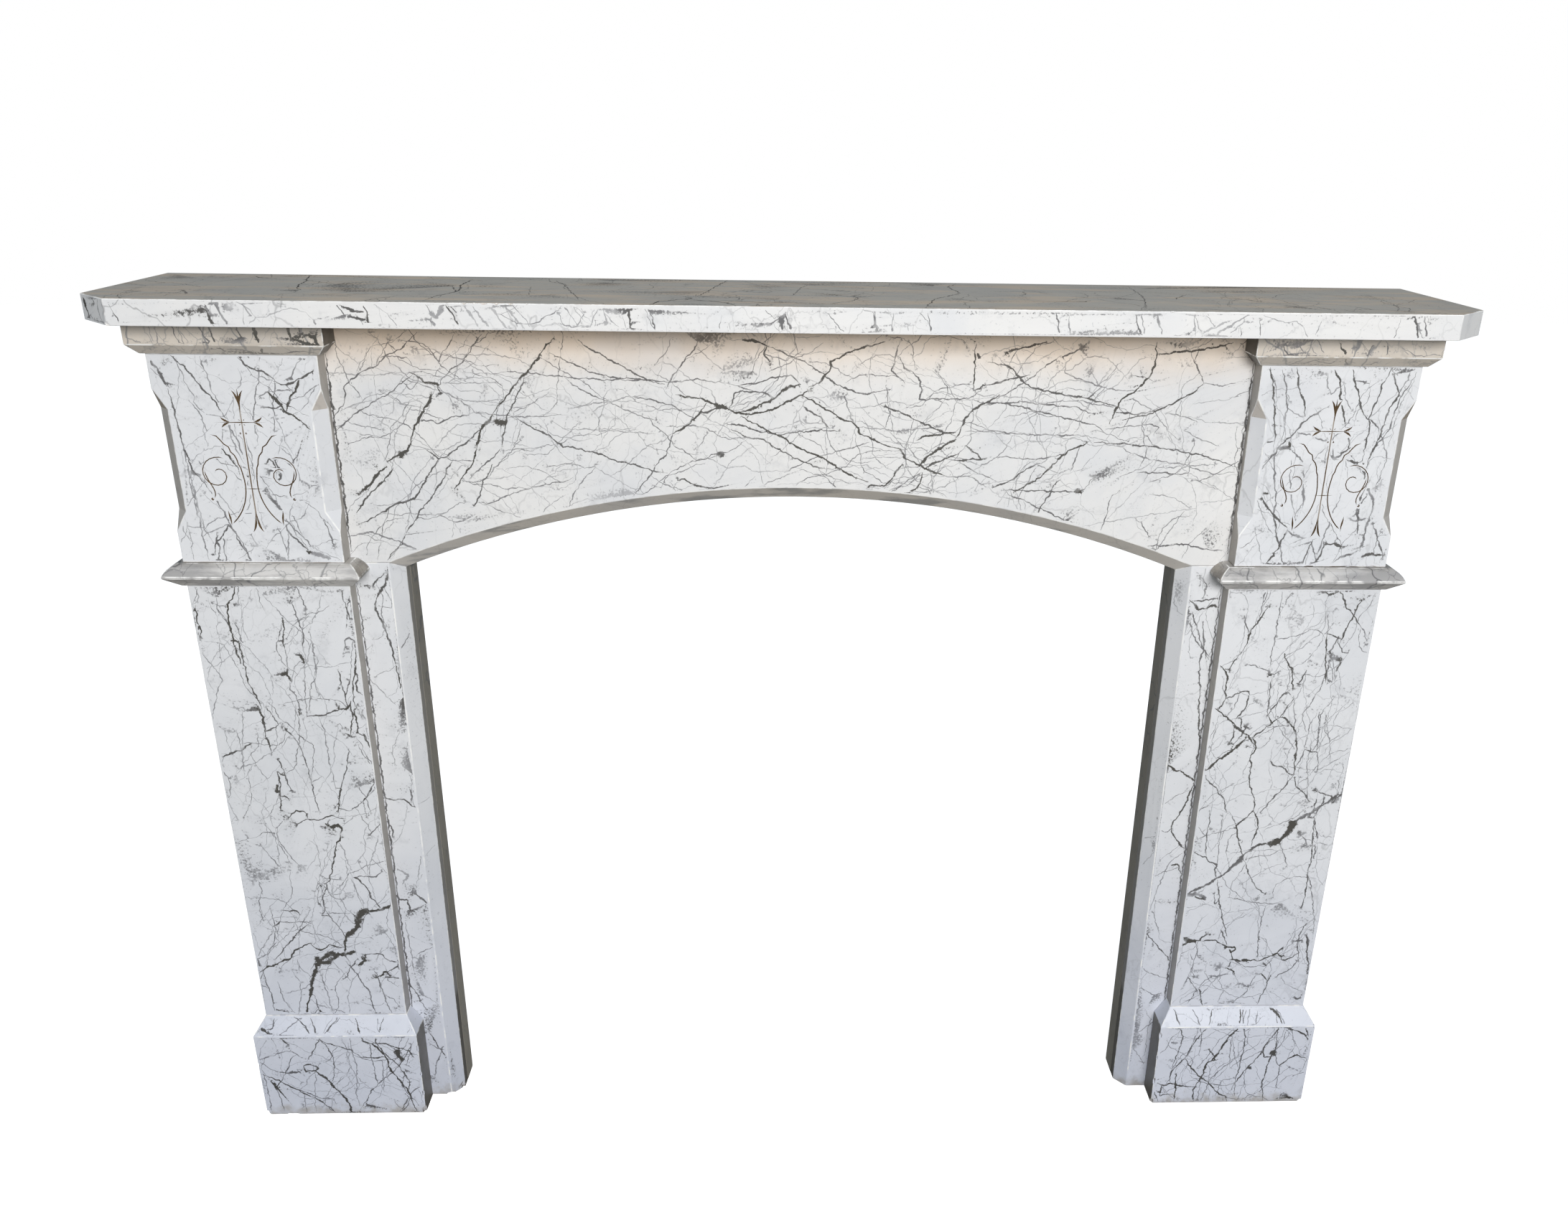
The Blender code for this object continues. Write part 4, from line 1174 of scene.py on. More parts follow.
def add_world():
    """White backdrop, with a dimmer, cooler light from all round."""
    world = bpy.data.worlds.new("studio")
    bpy.context.scene.world = world
    world.use_nodes = True
    tree = world.node_tree
    backdrop = tree.nodes["Background"]
    backdrop.inputs["Color"].default_value = BACKDROP
    dim = tree.nodes.new("ShaderNodeBackground")
    dim.inputs["Color"].default_value = ROOM_LIGHT
    dim.inputs["Strength"].default_value = ROOM_STRENGTH
    blend_for_camera(tree, dim.outputs[0], backdrop.outputs[0], tree.nodes["World Output"])


def sampled(points, rng):
    """Points a step apart along a polyline, with a small wander to either side."""
    points = np.array(points, float)
    lengths = np.hypot(*np.diff(points, axis=0).T)
    reach = np.concatenate(([0.0], np.cumsum(lengths)))
    count = max(3, int(round(reach[-1] / VEIN_STEP)) + 1)
    along = np.linspace(0.0, reach[-1], count)
    line = np.stack([np.interp(along, reach, points[:, k]) for k in (0, 1)], 1)
    ahead = np.gradient(line, axis=0)
    side = np.stack((-ahead[:, 1], ahead[:, 0]), 1) / np.maximum(np.hypot(*ahead.T), NO_LENGTH)[:, None]
    shift = np.zeros(count)
    for wave, height in WANDER_WAVES:
        shift += height * np.sin(2 * math.pi * (along / wave + rng.random()))
    shift += WANDER_JITTER * rng.standard_normal(count)
    ease = np.minimum(1.0, np.minimum(along, reach[-1] - along) / WANDER_EASE)
    return line + side * (shift * ease * WANDER)[:, None], side, along / max(reach[-1], NO_LENGTH)


def ribbon(points, width, tone, rng, fades=True):
    """One vein as centre points, side directions, half widths and tone."""
    line, side, share = sampled(points, rng)
    wave, height = SWELL_WAVE
    swell = 1.0 + height * np.sin(2 * math.pi * (share * len(line) * VEIN_STEP / wave + rng.random()))
    swell += SWELL_JITTER * rng.standard_normal(len(line))
    taper = np.minimum(1.0, TIP_SHARE + TAPER_RATE * np.minimum(share, 1 - share)) if fades else 1.0
    half = width / 2 * RIBBON_SHARE * np.clip(swell, *SWELL_RANGE) * taper
    return line, side, half, tone


def read_veins(grid, rows, rng):
    """Veins read off the photograph, as ribbons in millimetres."""
    left, top, step_across = grid[:3]
    step_down = grid[-1]
    veins = []
    for row in rows.strip().splitlines():
        width, tone, *places = row.split()
        steps = [tuple(map(float, place.split(","))) for place in places]
        points = [(left + step_across * c, top - step_down * r) for c, r in steps]
        veins.append(ribbon(points, float(width), float(tone), rng, fades=float(width) < BLOT_WIDTH))
    return veins


def hairlines(veins, box, count, lean, rng):
    """Fine veins that wander off at random, many of them out of larger ones."""
    x0, z0, x1, z1 = box
    found = []
    for _ in range(count):
        if veins and rng.random() < BRANCH_CHANCE:
            line = veins[rng.integers(len(veins))][0]
            start = line[rng.integers(len(line))]
        else:
            start = np.array((rng.uniform(x0, x1), rng.uniform(z0, z1)))
        leaning = lean[rng.integers(len(lean))] + rng.normal(0, HAIRLINE_SPREAD)
        heading = math.radians(leaning) + math.pi * rng.integers(2)
        place = np.array(start, float)
        points = [tuple(place)]
        for _ in range(int(rng.uniform(*HAIRLINE_STEPS))):
            heading += rng.normal(0, HAIRLINE_TURN)
            place = place + rng.uniform(*HAIRLINE_STRIDE) * np.array((math.cos(heading), math.sin(heading)))
            points.append(tuple(place))
        found.append(ribbon(points, rng.uniform(*HAIRLINE_WIDTH), rng.uniform(*HAIRLINE_TONE), rng))
    return found


def inside_outline(points, edges):
    """Whether each point lies in the outline, and how far it is from the outline's nearest edge."""
    a, b = edges[:, 0], edges[:, 1]
    within = np.zeros(len(points), bool)
    distance = np.full(len(points), np.inf)
    for (ax, az), (bx, bz) in zip(a, b):
        crosses = (az > points[:, 1]) != (bz > points[:, 1])
        if az != bz:
            at = ax + (points[:, 1] - az) * (bx - ax) / (bz - az)
            within ^= crosses & (points[:, 0] < at)
        run = np.array((bx - ax, bz - az))
        share = ((points - (ax, az)) @ run / max(run @ run, NO_AREA)).clip(0, 1)
        distance = np.minimum(distance, np.hypot(*(points - (ax, az) - share[:, None] * run).T))
    return within, distance


def vein_field(points, veins):
    """Strength, one at a vein's middle and none at its rim, and tone of the strongest vein at each point."""
    rows = []
    for line, _, half, tone in veins:
        spans = zip(line[:-1], line[1:], half[:-1], half[1:])
        rows += [(*start, *end, (u + v) / 2, tone) for start, end, u, v in spans]
    rows = np.array(rows)
    middle = (rows[:, :2] + rows[:, 2:4]) / 2
    cells = {}
    for index, key in enumerate(map(tuple, np.floor(middle / FIELD_CELL).astype(int))):
        for dx in (-1, 0, 1):
            for dz in (-1, 0, 1):
                cells.setdefault((key[0] + dx, key[1] + dz), []).append(index)
    strength = np.zeros(len(points))
    tones = np.full(len(points), PLAIN_TONE)
    homes = {}
    for index, key in enumerate(map(tuple, np.floor(points / FIELD_CELL).astype(int))):
        homes.setdefault(key, []).append(index)
    for key, members in homes.items():
        if key not in cells:
            continue
        near = rows[cells[key]]
        spots = points[members]
        run = near[:, 2:4] - near[:, :2]
        gap = spots[:, None] - near[None, :, :2]
        share = ((gap * run).sum(2) / np.maximum((run ** 2).sum(1), NO_AREA)).clip(0, 1)
        away = np.hypot(*np.moveaxis(gap - share[..., None] * run, 2, 0))
        level = (1 - away / np.maximum(near[:, 4], NO_WIDTH)).clip(0, 1)
        weight = level * near[:, 5] - NEARER_FIRST * away
        best = weight.argmax(1)
        strength[members] = level[np.arange(len(members)), best]
        tones[members] = near[best, 5]
    return strength, tones


def rising(direction):
    """The axis beside x that places are given by on a face: z on an upright face, y on a level one."""
    return UPRIGHT if abs(direction[1]) > abs(direction[2]) else LEVEL


def flat_front(mesh, normal, level):
    """Faces of a mesh that lie in one plane."""
    return [face for face in mesh.polygons if face.normal.dot(normal) > SAME_WAY
            and abs(face.center.dot(normal) - level) < PLANE_TOLERANCE]


def laid_out(veins, rim, first):
    """Points and links of the veins' ribbons inside an outline, and the points where it stops a vein.

    The points are numbered on from first.
    """
    points, links, stopped = [], [], set()
    for line, side, half, _ in veins:
        ahead = np.stack((side[:, 1], -side[:, 0]), 1) * half[:, None]
        tips = np.stack((line[0] - ahead[0], line[-1] + ahead[-1]))
        rings = np.stack((line - side * half[:, None], line, line + side * half[:, None]), 1)
        within, distance = inside_outline(np.concatenate((rings.reshape(-1, 2), tips)), rim)
        clear = within & (distance > VEIN_MARGIN)
        fine = clear[:-2].reshape(-1, 3).all(1)
        last = None
        for index, (ring, good) in enumerate(zip(rings, fine)):
            if not good:
                last = None
                continue
            here = first + len(points)
            points += [tuple(p) for p in ring]
            if last is None and index:
                stopped.add(here + 1)
            if index + 1 < len(fine) and not fine[index + 1]:
                stopped.add(here + 1)
            if last is not None:
                links += [(last + k, here + k) for k in range(3)]
            last = here
        ends = zip(tips, clear[-2:], (fine[0], fine[-1]))
        points += [tuple(tip) for tip, free, end in ends if free and end]
    return points, links, stopped


def outline(flat, faces):
    """Edges that only one of the faces uses."""
    uses = {}
    for face in faces:
        for a, b in zip(face, face[1:] + face[:1]):
            key = (min(a, b), max(a, b))
            uses[key] = uses.get(key, 0) + 1
    return np.array([flat[list(key)] for key, count in uses.items() if count == 1])


def settled(spots, from_verts, ids, coords, normal, level):
    """The mesh's index of each flat point. Points that the mesh lacks are added to coords, in the plane."""
    rise = rising(normal)
    solved = LEVEL + UPRIGHT - rise
    place = []
    for spot, sources in zip(spots, from_verts):
        known = [source for source in sources if source < len(ids)]
        if known:
            place.append(ids[known[0]])
            continue
        place.append(len(coords))
        corner = Vector((spot[0] / MM, 0, 0))
        corner[rise] = spot[1] / MM
        corner[solved] = (level - corner.dot(normal)) / normal[solved]
        coords.append(corner)
    return place


def carried(mesh, name, count, plain):
    """A value of the mesh's points, with room for more points."""
    values = np.full(count, plain)
    if name in mesh.attributes:
        before = np.zeros(len(mesh.vertices))
        mesh.attributes[name].data.foreach_get("value", before)
        values[:len(before)] = before
    return values


def inlaid(mesh, normal, level, veins):
    """The mesh with veins let into its faces in one plane, as points that carry their strength and tone.

    Veins on an upright plane are given by x and z, those on a level one by x and y.
    """
    rise = rising(normal)
    front = flat_front(mesh, normal, level)
    ids = sorted({v for face in front for v in face.vertices})
    order = {v: i for i, v in enumerate(ids)}
    flat = np.array([(mesh.vertices[v].co.x * MM, mesh.vertices[v].co[rise] * MM) for v in ids])
    faces = [[order[v] for v in face.vertices] for face in front]
    points, links, stopped = laid_out(veins, outline(flat, faces), len(flat))
    everything = [Vector(p) for p in flat.tolist() + points]
    made = delaunay_2d_cdt(everything, links, faces, 0, MESH_TOLERANCE, True)
    verts, _, tris, from_verts, _, from_faces = made
    spots = np.array([tuple(v) for v in verts])
    coords = [v.co.copy() for v in mesh.vertices]
    place = settled(spots, from_verts, ids, coords, normal, level)
    strength = carried(mesh, "vein", len(coords), 0.0)
    tones = carried(mesh, "tone", len(coords), PLAIN_TONE)
    strength_here, tones_here = vein_field(spots, veins)
    stopped.update(range(len(flat)))
    strength_here[[bool(sources) and stopped.issuperset(sources) for sources in from_verts]] = 0.0
    strength[place] = strength_here
    tones[place] = tones_here
    new = []
    for tri, sources in zip(tris, from_faces):
        ring = [place[v] for v in tri]
        if not sources or len(set(ring)) < 3:
            continue
        a, b, c = (coords[v] for v in ring)
        new.append(tuple(ring) if (b - a).cross(c - a).dot(normal) > 0 else tuple(reversed(ring)))
    used = {face.index for face in front}
    kept = [face for face in mesh.polygons if face.index not in used]
    marks = [face.material_index for face in kept]
    worn = [mesh.attributes["arris"].data[face.index].value for face in kept]
    result = bpy.data.meshes.new(mesh.name)
    result.from_pydata(coords, [], [tuple(face.vertices) for face in kept] + new)
    result.polygons.foreach_set("material_index", marks + [0] * len(new))
    result.attributes.new("arris", "FLOAT", "FACE").data.foreach_set("value", worn + [0.0] * len(new))
    for name, values in (("vein", strength), ("tone", tones)):
        result.attributes.new(name, "FLOAT", "POINT").data.foreach_set("value", values)
    return result


def plane_of(normal, name):
    """Unit normal and level of the furthest flat face of a node that faces a direction."""
    normal = Vector(normal).normalized()
    return normal, max(v.co.dot(normal) for v in NODES[name].data.vertices)


def eased(name, keep_edge):
    """A copy of a solid whose chosen arrises are eased off, all in triangles."""
    body = bmesh.new()
    body.from_mesh(NODES[name].data)
    bmesh.ops.remove_doubles(body, verts=body.verts, dist=WELD_DISTANCE)
    worn = body.faces.layers.float.new("arris")
    edges = [e for e in body.edges if len(e.link_faces) == 2 and e.is_convex
             and e.calc_face_angle() > SHARP_ANGLE and keep_edge(e)]
    made = bmesh.ops.bevel(body, geom=edges, offset=ARRIS_WIDTH, offset_type="OFFSET",
                           segments=ARRIS_SEGMENTS, profile=0.5, affect="EDGES", clamp_overlap=True)
    for face in made["faces"]:
        face[worn] = 1.0
    bmesh.ops.triangulate(body, faces=body.faces)
    mesh = bpy.data.meshes.new(name + "_stone")
    body.to_mesh(mesh)
    body.free()
    return mesh


def chip_cutter(chips, seed):
    """Rough lumps that take chips out of a stone: each is a place and three half sizes in metres."""
    body = bmesh.new()
    for index, (place, size) in enumerate(chips):
        made = bmesh.ops.create_icosphere(body, subdivisions=2, radius=1.0)
        for vert in made["verts"]:
            spot = vert.co * CHIP_GRAIN + Vector((seed, index * CHIP_SPREAD, 0))
            bulge = 1.0 + CHIP_BULGE * noise.noise(spot)
            vert.co = Vector(place) + Vector(c * s * bulge for c, s in zip(vert.co, size))
    mesh = bpy.data.meshes.new("chips")
    body.to_mesh(mesh)
    body.free()
    return bpy.data.objects.new("chips", mesh)


def chipped(mesh, chips, seed):
    """The mesh with chips broken out of it."""
    piece = bpy.data.objects.new("chipping", mesh)
    cutter = chip_cutter(chips, seed)
    for thing in (piece, cutter):
        bpy.context.scene.collection.objects.link(thing)
    cut = piece.modifiers.new("chips", "BOOLEAN")
    cut.operation = "DIFFERENCE"
    cut.solver = "EXACT"
    cut.object = cutter
    bpy.context.view_layer.update()
    whole = bpy.data.meshes.new_from_object(piece.evaluated_get(bpy.context.evaluated_depsgraph_get()))
    body = bmesh.new()
    body.from_mesh(whole)
    bmesh.ops.triangulate(body, faces=body.faces)
    body.to_mesh(whole)
    body.free()
    bpy.data.objects.remove(piece)
    bpy.data.objects.remove(cutter)
    return whole


def stand_for(name, mesh, materials):
    """Puts a finished stone in its solid's place."""
    piece = bpy.data.objects.new(name + "_stone", mesh)
    bpy.context.scene.collection.objects.link(piece)
    for material in materials:
        mesh.materials.append(material)
    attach(piece, "root")
    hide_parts(name)


def any_edge(edge):
    """Every arris is eased."""
    return True


def block_edge(name):
    """Arrises of a block outside its ornament."""
    low, high = (Vector(c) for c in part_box(name))

    def outer(edge):
        return any(min(v.co.x - low.x, high.x - v.co.x) < BLOCK_RIM
                   or min(v.co.z - low.z, high.z - v.co.z) < BLOCK_RIM / 2 for v in edge.verts)
    return outer


def mark_grooves(mesh, name):
    """Gives the walls of a block's incised ornament the second material."""
    low, high = (Vector(c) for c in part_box(name))
    middle = (low.x + high.x) / 2
    for face in mesh.polygons:
        centre = face.center
        inside = (abs(centre.x - middle) < ORNAMENT_HALF
                  and low.y < centre.y - GROOVE_START < low.y + GROOVE_REACH)
        if inside and abs(face.normal.y) < GROOVE_TILT and face.area < GROOVE_AREA:
            face.material_index = 1


def veined(name, faces, seed, materials, edge_test=any_edge):
    """One stone with veins let into its flat faces.

    Each face is its direction, the names of its tables of read veins, how many hairlines it has and the ways
    they lean.
    """
    rng = np.random.default_rng(seed)
    mesh = eased(name, edge_test)
    if name in CHIPS:
        mesh = chipped(mesh, CHIPS[name], seed)
    if len(materials) > 1:
        mark_grooves(mesh, name)
    low, high = (np.array(c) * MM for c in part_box(name))
    for direction, tables, count, lean in faces:
        veins = [vein for table in tables for vein in read_veins(*VEINS[table], rng)]
        rise = rising(direction)
        veins += hairlines(veins, (low[0], low[rise], high[0], high[rise]), count, lean, rng)
        mesh = inlaid(mesh, *plane_of(direction, name), veins)
    stand_for(name, mesh, materials)


class Graph:
    """Shorthand for building one node material."""

    def __init__(self, name):
        self.material = bpy.data.materials.new(name)
        self.material.use_nodes = True
        self.tree = self.material.node_tree
        self.shader = self.tree.nodes["Principled BSDF"]

    def put(self, socket, value):
        """Sets a socket to a number or colour, or links another node's output to it."""
        if isinstance(value, bpy.types.NodeSocket):
            self.tree.links.new(value, socket)
        elif isinstance(value, tuple) and len(value) == 3 and socket.type == "RGBA":
            socket.default_value = (*value, 1.0)
        else:
            socket.default_value = value

    def node(self, kind, values, out=0, **settings):
        """A new node with its settings and inputs; gives back one of its outputs."""
        made = self.tree.nodes.new(kind)
        for key, value in settings.items():
            setattr(made, key, value)
        for key, value in values.items():
            self.put(made.inputs[key], value)
        return made.outputs[out]

    def math(self, operation, *values, clamp=False):
        """One sum."""
        return self.node("ShaderNodeMath", dict(enumerate(values)), operation=operation, use_clamp=clamp)

    def times(self, *values):
        """The product of two or more values."""
        product = values[0]
        for value in values[1:]:
            product = self.math("MULTIPLY", product, value)
        return product

    def ramp(self, value, low, high, bottom=0.0, top=1.0):
        """A soft step from bottom to top between two values."""
        return self.node("ShaderNodeMapRange", {0: value, 1: low, 2: high, 3: bottom, 4: top},
                         interpolation_type="SMOOTHSTEP")

    def fall(self, value, low, high, top=1.0):
        """A soft step down to nothing between two values."""
        return self.ramp(value, low, high, top, 0.0)

    def mix(self, share, a, b, blend="MIX"):
        """Blend of two colours."""
        return self.node("ShaderNodeMix", {0: share, 6: a, 7: b}, out=2, data_type="RGBA", clamp_factor=True,
                         blend_type=blend)

    def stain_and_shade(self, share, colour, tint):
        """A colour darkened by a tint, so that the veins still show through it: used for stains and dirt and
        for painted shade.
        """
        return self.mix(share, colour, tint, "MULTIPLY")

    def grain(self, place, scale, detail=3.0, rough=0.55, colour=False):
        """Cloudy noise."""
        return self.node("ShaderNodeTexNoise", {"Vector": place, "Scale": scale, "Detail": detail,
                                                "Roughness": rough}, out=1 if colour else 0)

    def moved(self, place, shift=(0, 0, 0), turn=(0, 0, 0), stretch=(1, 1, 1)):
        """A place that is turned and stretched."""
        return self.node("ShaderNodeMapping", {"Vector": place, "Location": shift, "Rotation": turn,
                                               "Scale": stretch})

    def parts(self, vector):
        """The three parts of a vector."""
        return list(self.node("ShaderNodeSeparateXYZ", {0: vector}).node.outputs)

    def facing(self):
        """The three parts of the surface's own direction."""
        return self.parts(self.node("ShaderNodeNewGeometry", {}, out=1))

    def outward(self, place):
        """How far a face turns away from the mantel's middle: 1 outwards, -1 towards the fire opening."""
        return self.math("MULTIPLY", self.facing()[0], self.math("SIGN", self.parts(place)[0]))

    def attribute(self, name):
        """A value that the mesh carries."""
        return self.node("ShaderNodeAttribute", {}, out=2, attribute_name=name)


def crackle(graph, place, net, spread, wider):
    """Net of thin lines that comes and goes in patches."""
    scale, width, patch_scale, patch_low, patch_high = net
    drift = graph.grain(place, scale * NET_DRIFT, *NET_GRAIN, colour=True)
    warp = graph.node("ShaderNodeVectorMath", {0: drift, 1: (NOISE_MIDDLE,) * 3}, operation="SUBTRACT")
    bend = graph.node("ShaderNodeVectorMath", {0: warp, 3: NET_BEND / scale}, operation="SCALE")
    bent = graph.node("ShaderNodeVectorMath", {0: place, 1: bend}, operation="ADD")
    edge = graph.node("ShaderNodeTexVoronoi", {"Vector": bent, "Scale": scale}, feature="DISTANCE_TO_EDGE")
    patch = graph.ramp(graph.grain(place, patch_scale), patch_low - spread, patch_high - spread)
    return graph.times(graph.fall(edge, 0.0, (width + wider) * scale), patch)


def stone_colour(graph, place, pale, cool, spread):
    """Pale stone with cool clouds, smoky patches and specks."""
    cloud = graph.ramp(graph.grain(place, *CLOUD_GRAIN), *CLOUD_RANGE)
    colour = graph.mix(graph.times(cloud, CLOUD_SHARE), pale, cool)
    smoke_low, smoke_high = SMOKE_RANGE
    smoke = graph.ramp(graph.grain(graph.moved(place, SMOKE_SHIFT), *SMOKE_GRAIN),
                       smoke_low - spread / 2, smoke_high)
    colour = graph.mix(graph.times(smoke, SMOKE_SHARE), colour, SMOKE)
    speck = graph.ramp(graph.grain(place, *SPECK_GRAIN), *SPECK_RANGE)
    return graph.mix(graph.times(speck, SPECK_SHARE), colour, SMOKE)


def line_net(graph, place, lines, spread):
    """Strength of the fine and the coarse net of lines."""
    tilted = graph.moved(place, *NET_TILT)
    fine = crackle(graph, tilted, FINE_NET, spread, 0.0)
    coarse = crackle(graph, graph.moved(tilted, COARSE_SHIFT), COARSE_NET, spread, COARSE_SPREAD * spread)
    return graph.math("MAXIMUM", graph.times(fine, FINE_SHARE * lines), graph.times(coarse, lines))


def vein_mask(graph, place, tone):
    """Where the inlaid veins show: a ragged, broken core with a faint halo, stronger in darker veins."""
    vein = graph.attribute("vein")
    ragged = graph.math("SUBTRACT", graph.grain(place, *RAGGED_GRAIN), NOISE_MIDDLE)
    core = graph.ramp(graph.math("MULTIPLY_ADD", ragged, RAGGEDNESS, vein), *CORE_RANGE)
    broken = graph.ramp(graph.grain(place, *BREAK_GRAIN), *BREAK_RANGE, UNBROKEN_SHARE, 1.0)
    shown = graph.math("ADD", graph.times(core, broken), graph.times(vein, HALO_SHARE))
    return graph.math("MULTIPLY", shown, graph.ramp(tone, *TONE_RANGE, *WEIGHT_RANGE), clamp=True)


def marble(name, pale, cool, lines, spread=0.0, stain_and_shade=None, rough=HONED):
    """Veined marble: lines is the strength of the net of fine lines, spread how far it covers the stone."""
    graph = Graph(name)
    place = graph.node("ShaderNodeTexCoord", {}, out=3)
    colour = stone_colour(graph, place, pale, cool, spread)
    colour = graph.mix(line_net(graph, place, lines, spread), colour, FINE_VEIN)
    tone = graph.attribute("tone")
    mask = vein_mask(graph, place, tone)
    colour = graph.mix(mask, colour, graph.mix(graph.ramp(tone, *DARK_RANGE), FAINT_VEIN, DARK_VEIN))
    if stain_and_shade:
        colour = stain_and_shade(graph, place, colour)
    # Lighter along the eased arrises: rubbed wear, and a painted highlight on the edges
    rubbed = graph.times(graph.attribute("arris"), graph.ramp(graph.grain(place, *RUB_GRAIN), *RUB_RANGE))
    graph.put(graph.shader.inputs["Base Color"], graph.mix(graph.times(rubbed, RUB_AND_HIGHLIGHT_SHARE), colour, RUBBED_AND_HIGHLIGHT))
    sheen = graph.math("MULTIPLY_ADD", graph.grain(place, *SHEEN_GRAIN), SHEEN_SPAN, rough - SHEEN_SPAN / 2)
    graph.put(graph.shader.inputs["Roughness"], graph.math("MULTIPLY_ADD", mask, VEIN_ROUGHNESS, sheen))
    skin = graph.math("SUBTRACT", graph.grain(place, *SKIN_GRAIN), mask)
    graph.put(graph.shader.inputs["Normal"],
              graph.node("ShaderNodeBump", {"Height": skin, "Strength": SKIN_BUMP, "Distance": SKIN_DEPTH}))
    return graph.material


def under_shelf(graph, place, colour):
    """Tan that dies out downwards below the shelf, partly staining and partly painted shade of the shelf,
    and painted shade with dark streaks on faces turned down under the arch.
    """
    drift = graph.times(graph.math("SUBTRACT", graph.grain(place, *DRIFT_GRAIN), NOISE_MIDDLE), DRIFT_HEIGHT)
    height = graph.math("ADD", graph.parts(place)[2], drift)
    # Tan up to the shelf: partly staining, partly painted shade of the shelf
    colour = graph.stain_and_shade(graph.ramp(height, *TAN_STAIN_AND_SHADE_HEIGHTS), colour, TAN_STAIN_AND_SHADE)
    stretched = graph.moved(place, *STREAK_STRETCH)
    streak = graph.ramp(graph.grain(stretched, *STREAK_GRAIN), *STREAK_RANGE)
    streaked = graph.mix(streak, UNDERSIDE_SHADE, UNDERSIDE_DEEP_SHADE)
    # Painted shade, with dark streaks, on faces turned down under the arch
    return graph.stain_and_shade(graph.fall(graph.facing()[2], *ARCH_TURN), colour, streaked)


def panel_faces(graph, place, colour):
    """Painted cool shade towards the floor; painted tan shade on the sides, in outer hollows and on faces
    turned down under the stops, deeper on the plinths' sides; grime at the foot.
    """
    height = graph.parts(place)[2]
    # Painted cool shade, deepening towards the floor
    colour = graph.stain_and_shade(graph.fall(height, *LOW_COOL_SHADE_HEIGHTS), colour, LOW_COOL_SHADE)
    turned = graph.outward(place)
    # Painted shade on faces turned outwards and on side faces
    hollow = graph.ramp(turned, *HOLLOW_TURN, 0.0, HOLLOW_SHARE)
    side = graph.ramp(graph.math("ABSOLUTE", turned), *SIDE_TURN)
    colour = graph.stain_and_shade(graph.math("MAXIMUM", hollow, side), colour, SIDE_SHADE)
    # Deeper painted shade on the plinths' sides
    colour = graph.stain_and_shade(graph.times(side, graph.fall(height, *PLINTH_HEIGHTS)), colour, PLINTH_SIDE_SHADE)
    splash = graph.math("MULTIPLY_ADD", graph.grain(place, *SPLASH_GRAIN), SPLASH_HEIGHT, height)
    colour = graph.stain_and_shade(graph.fall(splash, *GRIME_HEIGHTS), colour, GRIME)
    # Painted shade on faces turned down, under the stops
    return graph.stain_and_shade(graph.fall(graph.facing()[2], *STOP_TURN), colour, STOP_SHADE)


def block_faces(graph, place, colour):
    """The panel's stone, with brown dirt rubbed into the lips of the ornament's stem."""
    colour = panel_faces(graph, place, colour)
    across, _, height = graph.parts(place)
    off = graph.math("ABSOLUTE", graph.math("SUBTRACT", graph.math("ABSOLUTE", across), STEM_X))
    stem = graph.times(graph.fall(off, *STEM_HALVES), graph.ramp(height, *STEM_FOOT),
                       graph.fall(height, *STEM_HEAD))
    worn = graph.ramp(graph.grain(place, *STEM_GRAIN), *BREAK_RANGE, STEM_LEAST, 1.0)
    front = graph.fall(graph.facing()[1], *FRONT_TURN)
    return graph.stain_and_shade(graph.times(stem, front, worn), colour, STEM_DIRT)


def necking_faces(graph, place, colour):
    """Long grey smudges; dust and painted shade on the upper side, painted shade under the nose, and painted
    shade on the ends towards the opening.
    """
    stretched = graph.moved(place, *SMUDGE_STRETCH)
    colour = graph.stain_and_shade(graph.ramp(graph.grain(stretched, *SMUDGE_GRAIN), *SMUDGE_RANGE), colour, SMUDGE)
    up = graph.facing()[2]
    # Dust and painted shade on the upper side; painted shade under the nose
    dust = graph.math("MAXIMUM", graph.ramp(up, *UP_DUST_AND_SHADE_TURN, 0.0, UP_DUST_AND_SHADE_SHARE),
                      graph.fall(up, *NOSE_SHADE_TURN, NOSE_SHADE_SHARE))
    colour = graph.stain_and_shade(dust, colour, DUST_AND_SHADE)
    # Painted shade on the ends turned towards the fire opening
    return graph.stain_and_shade(graph.fall(graph.outward(place), *INNER_TURN), colour, SIDE_SHADE)


def cap_faces(graph, place, colour):
    """Warm stone with painted shade: darker close under the shelf, on the splay, and darkest on the ends
    turned towards the fire opening.
    """
    height = graph.parts(place)[2]
    top = graph.ramp(height, *CAP_TOP_SHADE_HEIGHTS, 0.0, CAP_TOP_SHADE_SHARE)
    splay = graph.fall(height, *CAP_SPLAY_SHADE_HEIGHTS, CAP_SPLAY_SHADE_SHARE)
    colour = graph.mix(graph.math("MAXIMUM", top, splay), colour, MOULDING_DARK)
    return graph.stain_and_shade(graph.fall(graph.outward(place), *INNER_TURN), colour, CAP_END_SHADE)


def shelf_faces(graph, place, colour):
    """Upper side darkened by dust and painted shade, with long tan streaks, above a pale edge."""
    stretched = graph.moved(place, stretch=WEATHER_STRETCH)
    streak = graph.ramp(graph.grain(stretched, *WEATHER_GRAIN), *WEATHER_RANGE)
    shaded_top = graph.mix(streak, DUST_AND_SHADE, TAN_STREAK)
    # Dust and painted shade on faces turned up
    return graph.stain_and_shade(graph.ramp(graph.facing()[2], *TOP_TURN), colour, shaded_top)


def dress_frieze(stone):
    """The arched panel."""
    veined("frieze", [(FRONT, ["frieze"], *HAIRLINES["frieze"])], FRIEZE_SEED, [stone])


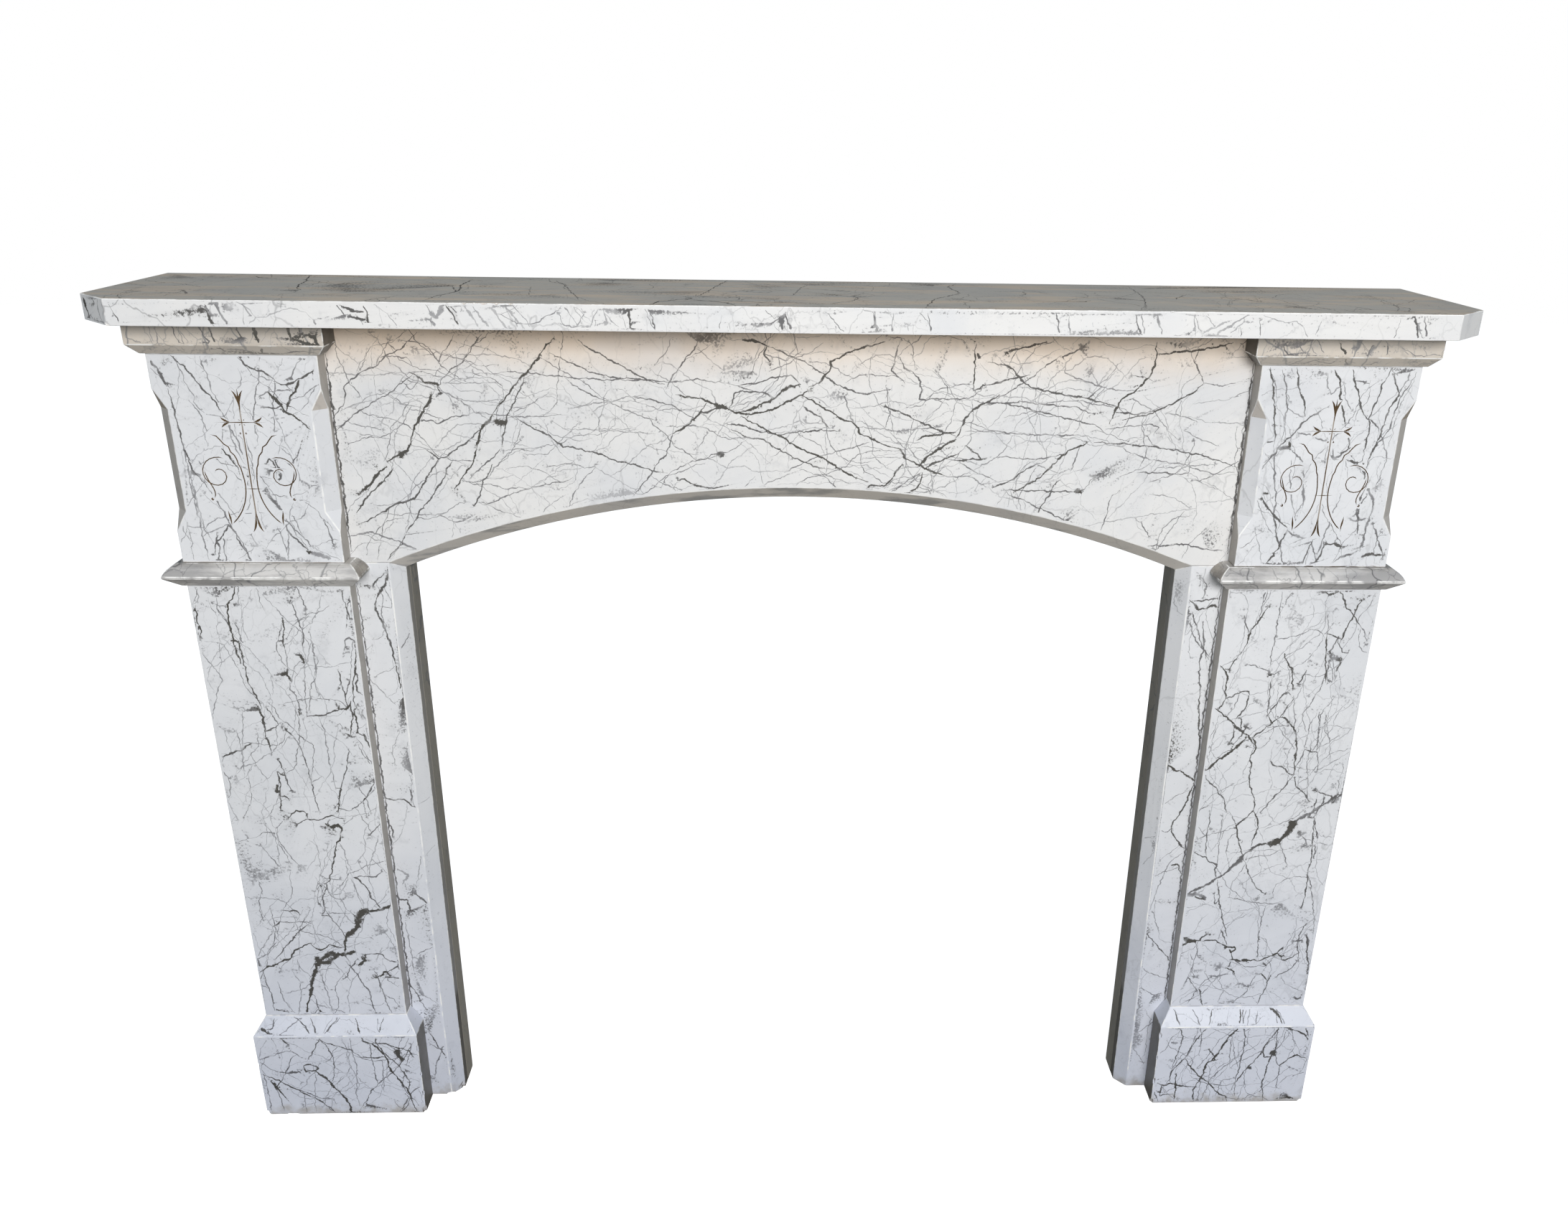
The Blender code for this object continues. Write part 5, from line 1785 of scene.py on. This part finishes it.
def dress_shelf(stone):
    """The shelf: its edge, both cants and its upper side."""
    across, *rest = SHELF_CANT
    veined("shelf", [(FRONT, ["shelf_left_half", "shelf_right_half"], *HAIRLINES["shelf_edge"]),
                     ((-across, *rest), ["shelf_left_cant"], *HAIRLINES["shelf_cant"]),
                     (SHELF_CANT, [], *HAIRLINES["shelf_cant"]),
                     (UP, ["shelf_top"], *HAIRLINES["shelf_top"])], SHELF_SEED, [stone])


def dress_mouldings(side, sign, cap_stone, necking_stone):
    """The cap and the necking of one leg."""
    cap = side + "_cap"
    veined(cap, [(FRONT, [cap], *HAIRLINES["cap"]), (CAP_SPLAY, [cap], *HAIRLINES["cap_splay"])],
           CAP_SEED + sign, [cap_stone])
    veined(side + "_necking", [(FRONT, [], *HAIRLINES["necking"])], NECKING_SEED + sign, [necking_stone])


def dress_slabs(side, sign, panel, block_stone, groove):
    """The pilaster, plinth, jamb and block of one leg."""
    inner_chamfer = (-sign * CHAMFER, -CHAMFER, 0.0)
    more_faces = {"plinth": (WEATHERING, "weathering"), "jamb": (inner_chamfer, "jamb_chamfer")}
    for part in ("pilaster", "plinth", "jamb", "block"):
        name = f"{side}_{part}"
        faces = [(FRONT, [name], *HAIRLINES[part])]
        if part in more_faces:
            direction, hairs = more_faces[part]
            faces.append((direction, [name], *HAIRLINES[hairs]))
        seed = len(name) * SEED_STEP + HAIRLINES[part][0] + sign
        if part == "block":
            veined(name, faces, seed, [block_stone, groove], block_edge(name))
        else:
            veined(name, faces, seed, [panel])


def dress_solids(stones, mouldings, panel):
    """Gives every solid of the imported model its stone."""
    for name, node in NODES.items():
        slot = SLOTS[name]
        if slot == "moulding_marble":
            stone = mouldings[name.split("_")[-1]]
        else:
            stone = stones.get(slot, panel)
        node.data.materials.clear()
        node.data.materials.append(stone)


bpy.context.scene.view_settings.view_transform = "Standard"
add_camera()
add_floor()
add_world()
add_area("front_light", *FRONT_LIGHT)
add_area("top_light", *TOP_LIGHT)

panel_stone = marble("panel_marble", PANEL_PALE, COOL, lines=0.28, stain_and_shade=panel_faces)
frieze_stone = marble("frieze_marble", PALE, COOL, lines=0.28, stain_and_shade=under_shelf)
block_stone = marble("block_marble", PANEL_PALE, COOL, lines=0.28, stain_and_shade=block_faces)
groove_stone = marble("groove", GROOVE, GROOVE_DARK, lines=0.0, rough=DIRTY)
cap_stone = marble("cap_marble", CAP_TAN_AND_SHADE, MOULDING_DARK, lines=1.0, spread=0.12, stain_and_shade=cap_faces)
necking_stone = marble("necking_marble", NECKING, SMOKE_PALE, lines=1.0, spread=0.16, stain_and_shade=necking_faces)
# Solids of the inner marble slot: a darker copy of the marble, as painted shade
shaded_inner_stone = marble("inner_marble", INNER_SHADED, INNER_SHADED_DARK, lines=0.8, spread=0.1, rough=MATTE)
shelf_stone = marble("shelf_marble", PALE, COOL, lines=0.6, stain_and_shade=shelf_faces, rough=MATTE)

dress_frieze(frieze_stone)
dress_shelf(shelf_stone)
for side, sign in (("left", -1), ("right", 1)):
    dress_mouldings(side, sign, cap_stone, necking_stone)
    dress_slabs(side, sign, panel_stone, block_stone, groove_stone)
dress_solids({"inner_marble": shaded_inner_stone, "shelf_marble": shelf_stone},
             {"cap": cap_stone, "necking": necking_stone}, panel_stone)
